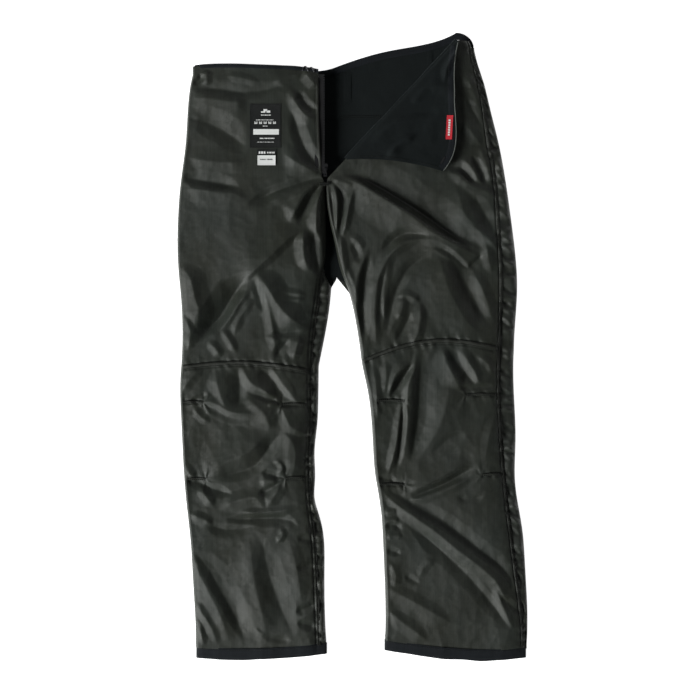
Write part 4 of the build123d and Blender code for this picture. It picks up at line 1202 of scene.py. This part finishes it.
# ---- Waist bindings ----
def binding(name, node, base, crown=1.1, tilt=0.0, trim=0.0):
    """A folded tape along a waist edge, as tall as its node unless trim cuts its lower part.

    base is its height or a height function, crown its roundness, and tilt lowers its top edge.
    """
    low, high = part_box(node)
    x = np.linspace(low.x / MM + 0.4, high.x / MM - 0.4, 260)
    lows, highs = span((node,), x, across=0)
    v = np.linspace(0, 1, 12)[:, None]
    lows = lows + (highs - lows) * trim
    y = lows[None] + (highs - lows)[None] * v
    xx = np.broadcast_to(x[None], y.shape)
    z = base(xx, y) if callable(base) else np.full(y.shape, base)
    z = z + crown * np.sqrt(np.maximum(1 - (2 * v - 1) ** 2, 0)) + 0.35 * noise(xx, y, 24, 211)
    z = z - tilt * smooth((v - 0.75) / 0.25)
    return cloth(name, xx, y, z, TRIM)


def front_waist_level(x, y):
    """The left front's top edge, rounded off at the side and pressed in at a pleat."""
    level = left_z(x, np.minimum(y, LEFT_WAIST(x) - 3))
    side = rounded(x - at(LEFT_SIDE, np.minimum(y, 510)) + 4, 30)
    return level * side + 0.6 - 1.6 * np.exp(-((x + 83) / 11) ** 2)


piece = binding("front_waist_tape", "waist_binding_front", front_waist_level, tilt=2.5, trim=0.4)
place(piece, "trousers", "trim_cloth", "waist_binding_front")
piece = binding("back_waist_tape", "waist_binding_back", 4.2, 1.6)
place(piece, "trousers", "trim_cloth", "waist_binding_back")

# ---- Belt loops: narrow bowed straps, sewn down at both ends ----
straps = []
for low, high in islands("belt_loops"):
    u, v = np.meshgrid(np.linspace(-1, 1, 7), np.linspace(0, 1, 30))
    bow = np.sin(np.pi * np.clip((v - 0.08) / 0.84, 0, 1)) ** 0.6
    z = low[2] + 0.6 + 0.8 * bow + 0.5 * np.sqrt(1 - u * u) - 0.25 * np.cos(9 * u)
    straps.append(((low[0] + high[0]) / 2 + (high[0] - low[0]) / 2 * u,
                   low[1] + (high[1] - low[1]) * v, z))
piece = joined("belt_loop_straps", straps, SHELL)
place(piece, "trousers", "trim_cloth", "belt_loops")

# ---- Bar tack at the fly's foot: close satin stitches ----
low, high = (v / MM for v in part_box("fly_bar_tack"))
rows = [[(x, low.y + 0.3), (x + 0.4, high.y - 0.3)]
        for x in np.arange(low.x + 5.5, high.x - 4, 1.0)]
piece = stitches("fly_tack_stitches", rows, flat(high.z + 0.4), THREAD, pitch=3.0, length=4.0,
                 thick=1.0)
place(piece, "trousers", "thread", "fly_bar_tack")

# ---- The folded-back corner of the right front ----
FOLD_FOOT = np.array(JOINTS["fly_corner_fold"]["pos_m"][:2]) / MM
axis = np.array(JOINTS["fly_corner_fold"]["axis"][:2], float)
ALONG = -axis / np.hypot(*axis)
ACROSS = np.array([ALONG[1], -ALONG[0]])


def flap_frame(names):
    """A node's reach across the fold, at stations along it."""
    a, b = edge_ends(names)
    turn = np.stack([ALONG, ACROSS], -1)
    a, b = (a - FOLD_FOOT) @ turn, (b - FOLD_FOOT) @ turn
    stations = np.arange(a[:, 0].min() + 0.5, a[:, 0].max() - 0.5, 2.0)
    reach = []
    for level in stations:
        hit = (np.minimum(a[:, 0], b[:, 0]) <= level) & (np.maximum(a[:, 0], b[:, 0]) >= level)
        hit &= np.abs(b[:, 0] - a[:, 0]) > 1e-6
        share = (level - a[hit, 0]) / (b[hit, 0] - a[hit, 0])
        reach.append((a[hit, 1] + (b[hit, 1] - a[hit, 1]) * share).max())
    return stations, np.array(reach)


FLAP_COLUMNS = 56


def flap_sheet(name, node, z, material):
    """The flap's cloth from the fold to its free edges; z takes x, y and distance from the fold."""
    stations, reach = flap_frame((node,))
    away = reach[:, None] * np.linspace(0, 1, FLAP_COLUMNS)[None]
    x = FOLD_FOOT[0] + ALONG[0] * stations[:, None] + ACROSS[0] * away
    y = FOLD_FOOT[1] + ALONG[1] * stations[:, None] + ACROSS[1] * away
    return cloth(name, x, y, z(x, y, away), material)


shell_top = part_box("fly_flap_shell")[1].z / MM
lining_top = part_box("fly_flap_lining")[1].z / MM
GATHERS = (
    (4.2, 6, 8, ((196, 552), (176, 520), (168, 486))),
    (3.8, 5, 6, ((190, 556), (160, 534), (140, 505))),
    (3.4, 7, 9, ((60, 345), (86, 372), (120, 392))),
    (3.0, 12, 14, ((20, 372), (80, 410), (150, 430))),
    (2.8, 14, 16, ((100, 440), (140, 478), (172, 480))),
)


def flap_wave(x, y):
    """The flap shell's soft waves."""
    wide = 3.4 * noise(x, y, 62, 221) + 1.3 * noise(x, y, 24, 222) + 0.2 * noise(x, y, 8, 223)
    return wide + 1.4 * folds(x, y, GATHERS)


tab_low, tab_high = (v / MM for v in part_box("side_tab"))
TAB_X, TAB_Y = (tab_low.x + tab_high.x) / 2, (tab_low.y + tab_high.y) / 2


def flap_top(x, y, away):
    """The flap shell's height; the tab lies on a flat bed."""
    edge = rounded(away + 0.5, 7)
    bed = np.exp(-((x - TAB_X) / 20) ** 4 - ((y - TAB_Y) / 34) ** 4)
    lift = np.maximum((1.6 + flap_wave(x, y)) * (1 - bed) + 0.3 * bed, -0.4)
    return shell_top - 2.6 * (1 - edge) + lift * smooth(away / 22)


def flap_under(x, y, away):
    """The flap lining's height."""
    return lining_top - 0.3 + 0.5 * noise(x, y, 26, 224) * smooth(away / 20)


flap_shell = flap_sheet("flap_shell_cloth", "fly_flap_shell", flap_top, SHELL)
place(flap_shell, "fly_flap", "shell_cloth", "fly_flap_shell")
flap_lining = flap_sheet("flap_lining_cloth", "fly_flap_lining", flap_under, LINING)
place(flap_lining, "fly_flap", "lining_cloth", "fly_flap_lining")

# The roll where the right front turns over: round, sagging to the fold line.
stations, reach = flap_frame(("fly_flap_shell",))
turn = np.linspace(0, np.pi, 15)[None]
low_z = right_z(FOLD_FOOT[0] + ALONG[0] * stations + 1, FOLD_FOOT[1] + ALONG[1] * stations)[:, None]
high_z = shell_top - 2.6
roll = 3.6 + 0.7 * noise(stations, stations * 0, 40, 225)[:, None]
away = -roll * np.sin(turn)
x = FOLD_FOOT[0] + ALONG[0] * stations[:, None] + ACROSS[0] * away
y = FOLD_FOOT[1] + ALONG[1] * stations[:, None] + ACROSS[1] * away
z = (low_z + high_z) / 2 - (high_z - low_z) / 2 * np.cos(turn)
piece = cloth("fly_fold_roll", x, y, z, SHELL)
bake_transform(piece)


def flap_edge_line(low_part):
    """The flap's free edge, from the fold's foot round the corner to the waist."""
    line = np.stack([FOLD_FOOT[0] + ALONG[0] * stations + ACROSS[0] * reach,
                     FOLD_FOOT[1] + ALONG[1] * stations + ACROSS[1] * reach], -1)
    corner = int(np.argmax(reach))
    return line[:corner + 1] if low_part else line[corner:]


def flap_level(x, y):
    """The flap shell's height at a place."""
    away = (x - FOLD_FOOT[0]) * ACROSS[0] + (y - FOLD_FOOT[1]) * ACROSS[1]
    return flap_top(x, y, np.maximum(away, 0))


waist_edge = flap_edge_line(False)
piece = ribbon("flap_waist_tape", offset_line(waist_edge, 6.0)[:-4], 12.0, flap_level, TRIM, 0.6, 9,
               edge=0.3)
place(piece, "fly_flap", "trim_cloth", "fly_flap_binding")
fine = np.stack(resample(waist_edge, 2.0)[:2], -1)
wave = 0.8 * noise(fine[:, 0], fine[:, 1], 28, 226)
fine = np.stack([fine[:, 0] + wave, fine[:, 1], flap_level(*fine.T) + 0.5], -1)
piece = tube("flap_waist_piping", fine, 0.8, PIPING)
place(piece, "fly_flap", "trim_cloth")
rows = [offset_line(waist_edge, 11.0)[4:-4], offset_line(flap_edge_line(True), 5.0)[8:-3]]
piece = stitches("flap_stitches", rows, lambda x, y: flap_level(x, y) + 0.3, THREAD)
place(piece, "fly_flap", "thread")


# ---- Labels ----
def panel(name, x0, x1, y0, y1, height, material, lift, nx=30, ny=40, tilt=0.0, curl=0.0):
    """A small sheet that follows the cloth under it; tilt leans it, curl lifts its edges."""
    t, v = np.meshgrid(np.linspace(0, 1, nx), np.linspace(0, 1, ny))
    x, y = x0 + (x1 - x0) * t, y0 + (y1 - y0) * v
    x = x + tilt * (y - y0)
    edge = (2 * t - 1) ** 6 + (2 * v - 1) ** 6
    return cloth(name, x, y, height(x, y) + lift + curl * edge, material)


def marks(name, boxes, height, material, lift):
    """Printed shapes on a label: thin raised patches, each (x0, x1, y0, y1)."""
    patches = []
    for x0, x1, y0, y1 in boxes:
        t, v = np.meshgrid(np.linspace(0, 1, 5), np.linspace(0, 1, 4))
        x, y = x0 + (x1 - x0) * t, y0 + (y1 - y0) * v
        patches.append((x, y, height(x, y) + lift))
    return joined(name, patches, material)


def line_of_marks(x0, x1, y, tall, widths, gap):
    """A row of short bars that stands for a printed line."""
    boxes, x, k = [], x0, 0
    while x < x1:
        end = min(x + widths[k % len(widths)], x1)
        boxes.append((x, end, y - tall / 2, y + tall / 2))
        x, k = end + gap, k + 1
    return boxes


def shares(low, high):
    """Two functions that give the X and the Y at a share of a box's width and height."""
    return (lambda share: low.x + (high.x - low.x) * share,
            lambda share: low.y + (high.y - low.y) * share)


def printed(label_x, label_y, rows):
    """Lines of bars, each (from, to, height, thickness, bar lengths, gap)."""
    found = []
    for x0, x1, y, tall, widths, gap in rows:
        found += line_of_marks(label_x(x0), label_x(x1), label_y(y), tall, widths, gap)
    return found


low, high = (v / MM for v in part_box("care_label"))
label_x, label_y = shares(low, high)
piece = panel("care_label_cloth", low.x, high.x, low.y, high.y, left_z, LABEL, 0.45, curl=0.35)
place(piece, "trousers", "label_cloth", "care_label")
boxes = [(label_x(0.36), label_x(0.50), label_y(0.80), label_y(0.83)),
         (label_x(0.44), label_x(0.56), label_y(0.83), label_y(0.88)),
         (label_x(0.54), label_x(0.66), label_y(0.80), label_y(0.85))]
boxes += printed(label_x, label_y, ((0.36, 0.68, 0.745, 1.7, (3.2, 1.6, 4.0, 2.2), 0.9),
                                    (0.20, 0.76, 0.635, 1.2, (2.6, 4.4, 1.6, 3.4), 0.8)))
for k in range(5):
    x = label_x(0.15 + 0.15 * k)
    boxes += [(x, x + 5.2, label_y(0.545), label_y(0.56)),
              (x, x + 1.2, label_y(0.56), label_y(0.60)),
              (x + 4.0, x + 5.2, label_y(0.56), label_y(0.60)),
              (x + 1.8, x + 3.4, label_y(0.57), label_y(0.59))]
boxes += printed(label_x, label_y, ((0.42, 0.58, 0.495, 1.4, (2.4, 1.8), 0.8),
                                    (0.32, 0.80, 0.215, 1.8, (6.5, 1.2, 5.0, 3.0), 0.9),
                                    (0.24, 0.80, 0.13, 0.8, (3.6, 5.4, 2.0), 0.9)))
piece = marks("care_label_marks", boxes, left_z, WHITE, 0.65)
place(piece, "trousers", "label_cloth")
piece = panel("care_label_bar", label_x(0.11), label_x(0.94), label_y(0.30), label_y(0.425),
              left_z, WHITE, 0.7, 20, 6)
place(piece, "trousers", "label_cloth")
HEM = 1.5  # the label's stitches run this far inside its edge
corners = [(low.x + HEM, low.y + HEM), (high.x - HEM, low.y + HEM),
           (high.x - HEM, high.y - HEM), (low.x + HEM, high.y - HEM)]
sides = [[corners[k], corners[(k + 1) % 4]] for k in range(4)]
piece = stitches("care_label_stitches", sides, lambda x, y: left_z(x, y) + 0.5, THREAD, 2.8, 2.0,
                 0.6)
place(piece, "trousers", "thread")

low, high = (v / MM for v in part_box("size_label"))
label_x, label_y = shares(low, high)
piece = panel("size_label_cloth", low.x, high.x, low.y, high.y, left_z, LABEL, 1.1, 24, 24,
              curl=0.25)
place(piece, "size_label", "label_cloth", "size_label")
piece = panel("size_label_patch", low.x + 0.6, high.x - 1.2, low.y + 0.6, label_y(0.63), left_z,
              WHITE, 1.35, 24, 16, curl=0.25)
place(piece, "size_label", "label_cloth")
boxes = printed(label_x, label_y, ((0.08, 0.44, 0.80, 4.2, (3.2, 3.6), 1.2),
                                   (0.52, 0.92, 0.80, 3.0, (2.2, 1.8), 0.9)))
piece = marks("size_label_marks", boxes, left_z, WHITE, 1.35)
place(piece, "size_label", "label_cloth")
boxes = printed(label_x, label_y, ((0.16, 0.48, 0.38, 1.6, (2.4, 3.4), 0.9),
                                   (0.54, 0.80, 0.38, 2.0, (3.2, 2.0), 0.9)))
piece = marks("size_label_print", boxes, left_z, LABEL, 1.6)
place(piece, "size_label", "label_cloth")

# ---- The red tab on the flap ----
low, high = (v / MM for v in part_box("side_tab"))
LEAN = math.tan(math.radians(3))


def tab_level(x, y):
    """The tab lies on the bound edge of the flap."""
    return np.maximum(flap_level(x, y), low.z) + 0.4


piece = panel("side_tab_cloth", low.x + 0.2, high.x - 2.3, low.y, high.y, tab_level, RED, 0.15,
              14, 30, tilt=LEAN, curl=0.15)
place(piece, "side_tab", "tab_cloth", "side_tab")
boxes = []
for k in range(7):
    y = low.y + 7 + k * 4.4
    x = low.x + LEAN * (y - low.y)
    boxes.append((x + 4.0, x + 7.6, y, y + 3.2))
piece = marks("side_tab_marks", boxes, tab_level, WHITE, 0.37)
place(piece, "side_tab", "tab_cloth")

# ---- The waist hook: a wire bent into two low humps ----
HOOK_Y, HUMP = 508, 9.5  # where the wire's feet are, and how tall its humps are
low, high = (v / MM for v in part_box("waist_hook"))
x = np.linspace(low.x - 2, high.x + 4, 40)
share = (x - low.x + 2) / (high.x - low.x + 6)
y = HOOK_Y + HUMP * np.abs(np.sin(share * 2 * np.pi)) ** 0.7 - (x - low.x) * 0.16
wire = np.stack([x, y, np.full(40, high.z + 0.6)], -1)
piece = tube("waist_hook_wire", wire, 1.25, METAL)
place(piece, "trousers", "dark_metal", "waist_hook")

# ---- Fly facing: a pressed edge with a stitched row along the left front ----
line = side_line(LEFT_INNER, -2.2, 322, 505)
# The facing takes the darker lining, which is painted shade along the fly's edge.
piece = ribbon("fly_facing", line, 4.4, left_z, SEAM_SHADE_LINING, 0.5, 7, edge=0.2)
place(piece, "trousers", "lining_cloth")
piece = stitches("fly_facing_stitches", [side_line(LEFT_INNER, -8.5, 318, 500)], left_z, THREAD)
place(piece, "trousers", "thread")

# ---- The yoke seam, seen inside the open front ----
line = np.stack([np.linspace(-24, 190, 90), np.full(90, YOKE_LOW + 3.0)], -1)
piece = stitches("back_yoke_stitches", [line, line + (0, 3.2)], flat(4.3), THREAD,
                 thick=1.0)
place(piece, "trousers", "thread")

# ---- Carried-over CAD nodes ----
for name, material in (("zip_tape_left", TAPE), ("zip_tape_right", TAPE), ("zip_teeth_left", TEETH),
                       ("zip_teeth_right", TEETH), ("zip_stops", METAL), ("zip_slider", METAL),
                       ("zip_pull", METAL), ("waist_bar", METAL)):
    NODES[name].data.materials.clear()
    NODES[name].data.materials.append(material)


# ---- Floor, light and camera ----
def area_light(name, position, target, size, power, colour=(1, 1, 1)):
    """A soft square light that points at a target; positions in metres."""
    data = bpy.data.lights.new(name, "AREA")
    data.shape = "SQUARE"
    data.size = size
    data.energy = power
    data.color = colour
    lamp = bpy.data.objects.new(name, data)
    lamp.location = position
    lamp.rotation_euler = (Vector(target) - Vector(position)).to_track_quat("-Z", "Y").to_euler()
    bpy.context.scene.collection.objects.link(lamp)


FLOOR = 12.0  # half the floor's side
FLOOR_Z = -0.0006
WALL = 1.1  # a low pale rim that meets the floor's edge
ring = [(sign_x * FLOOR, sign_y * FLOOR) for sign_x, sign_y in ((-1, -1), (1, -1), (1, 1), (-1, 1))]
floor_mesh = bpy.data.meshes.new("floor")
walls = [(k, (k + 1) % 4, (k + 1) % 4 + 4, k + 4) for k in range(4)]
floor_mesh.from_pydata([(x, y, z) for z in (FLOOR_Z, WALL) for x, y in ring], [],
                       [(0, 1, 2, 3)] + walls)
floor = bpy.data.objects.new("floor", floor_mesh)
bpy.context.scene.collection.objects.link(floor)
floor_material, _, floor_shader = new_material("floor_pale")
floor_shader.inputs["Base Color"].default_value = (0.9, 0.9, 0.9, 1)
floor_shader.inputs["Roughness"].default_value = 0.9
floor_shader.inputs["Emission Color"].default_value = (1, 1, 1, 1)
floor_shader.inputs["Emission Strength"].default_value = 0.95
floor_mesh.materials.append(floor_material)

world = bpy.data.worlds.new("studio")
world.use_nodes = True
world.node_tree.nodes["Background"].inputs["Color"].default_value = (0.95, 0.98, 1.0, 1)
world.node_tree.nodes["Background"].inputs["Strength"].default_value = 0.028
bpy.context.scene.world = world
area_light("key", (-5.4, -2.5, 3.1), (0, 0, 0), 3.0, 760, (0.985, 1.0, 0.985))
area_light("fill", (2.6, 4.4, 3.9), (0, 0, 0), 3.6, 48)

camera_data = bpy.data.cameras.new("camera")
camera = bpy.data.objects.new("camera", camera_data)
bpy.context.scene.collection.objects.link(camera)
CAMERA_HEIGHT = 3.2
VIEW_WIDTH = 1.295  # how much of the plane at PLANE_Z the picture shows
PLANE_Z = 0.02
SENSOR = 36
CAMERA_SHIFT = (-0.0046, -0.0065)  # the garment isn't quite in the middle of the picture
middle = [(a + b) / 2 for a, b in zip(cad_low, cad_high)]
camera.location = (middle[0] + CAMERA_SHIFT[0], middle[1] + CAMERA_SHIFT[1], CAMERA_HEIGHT)
camera_data.sensor_width = SENSOR
camera_data.lens = SENSOR * (CAMERA_HEIGHT - PLANE_Z) / VIEW_WIDTH
camera_data.clip_end = 50
bpy.context.scene.camera = camera
bpy.context.scene.view_settings.view_transform = "Standard"
bpy.context.scene.view_settings.look = "None"
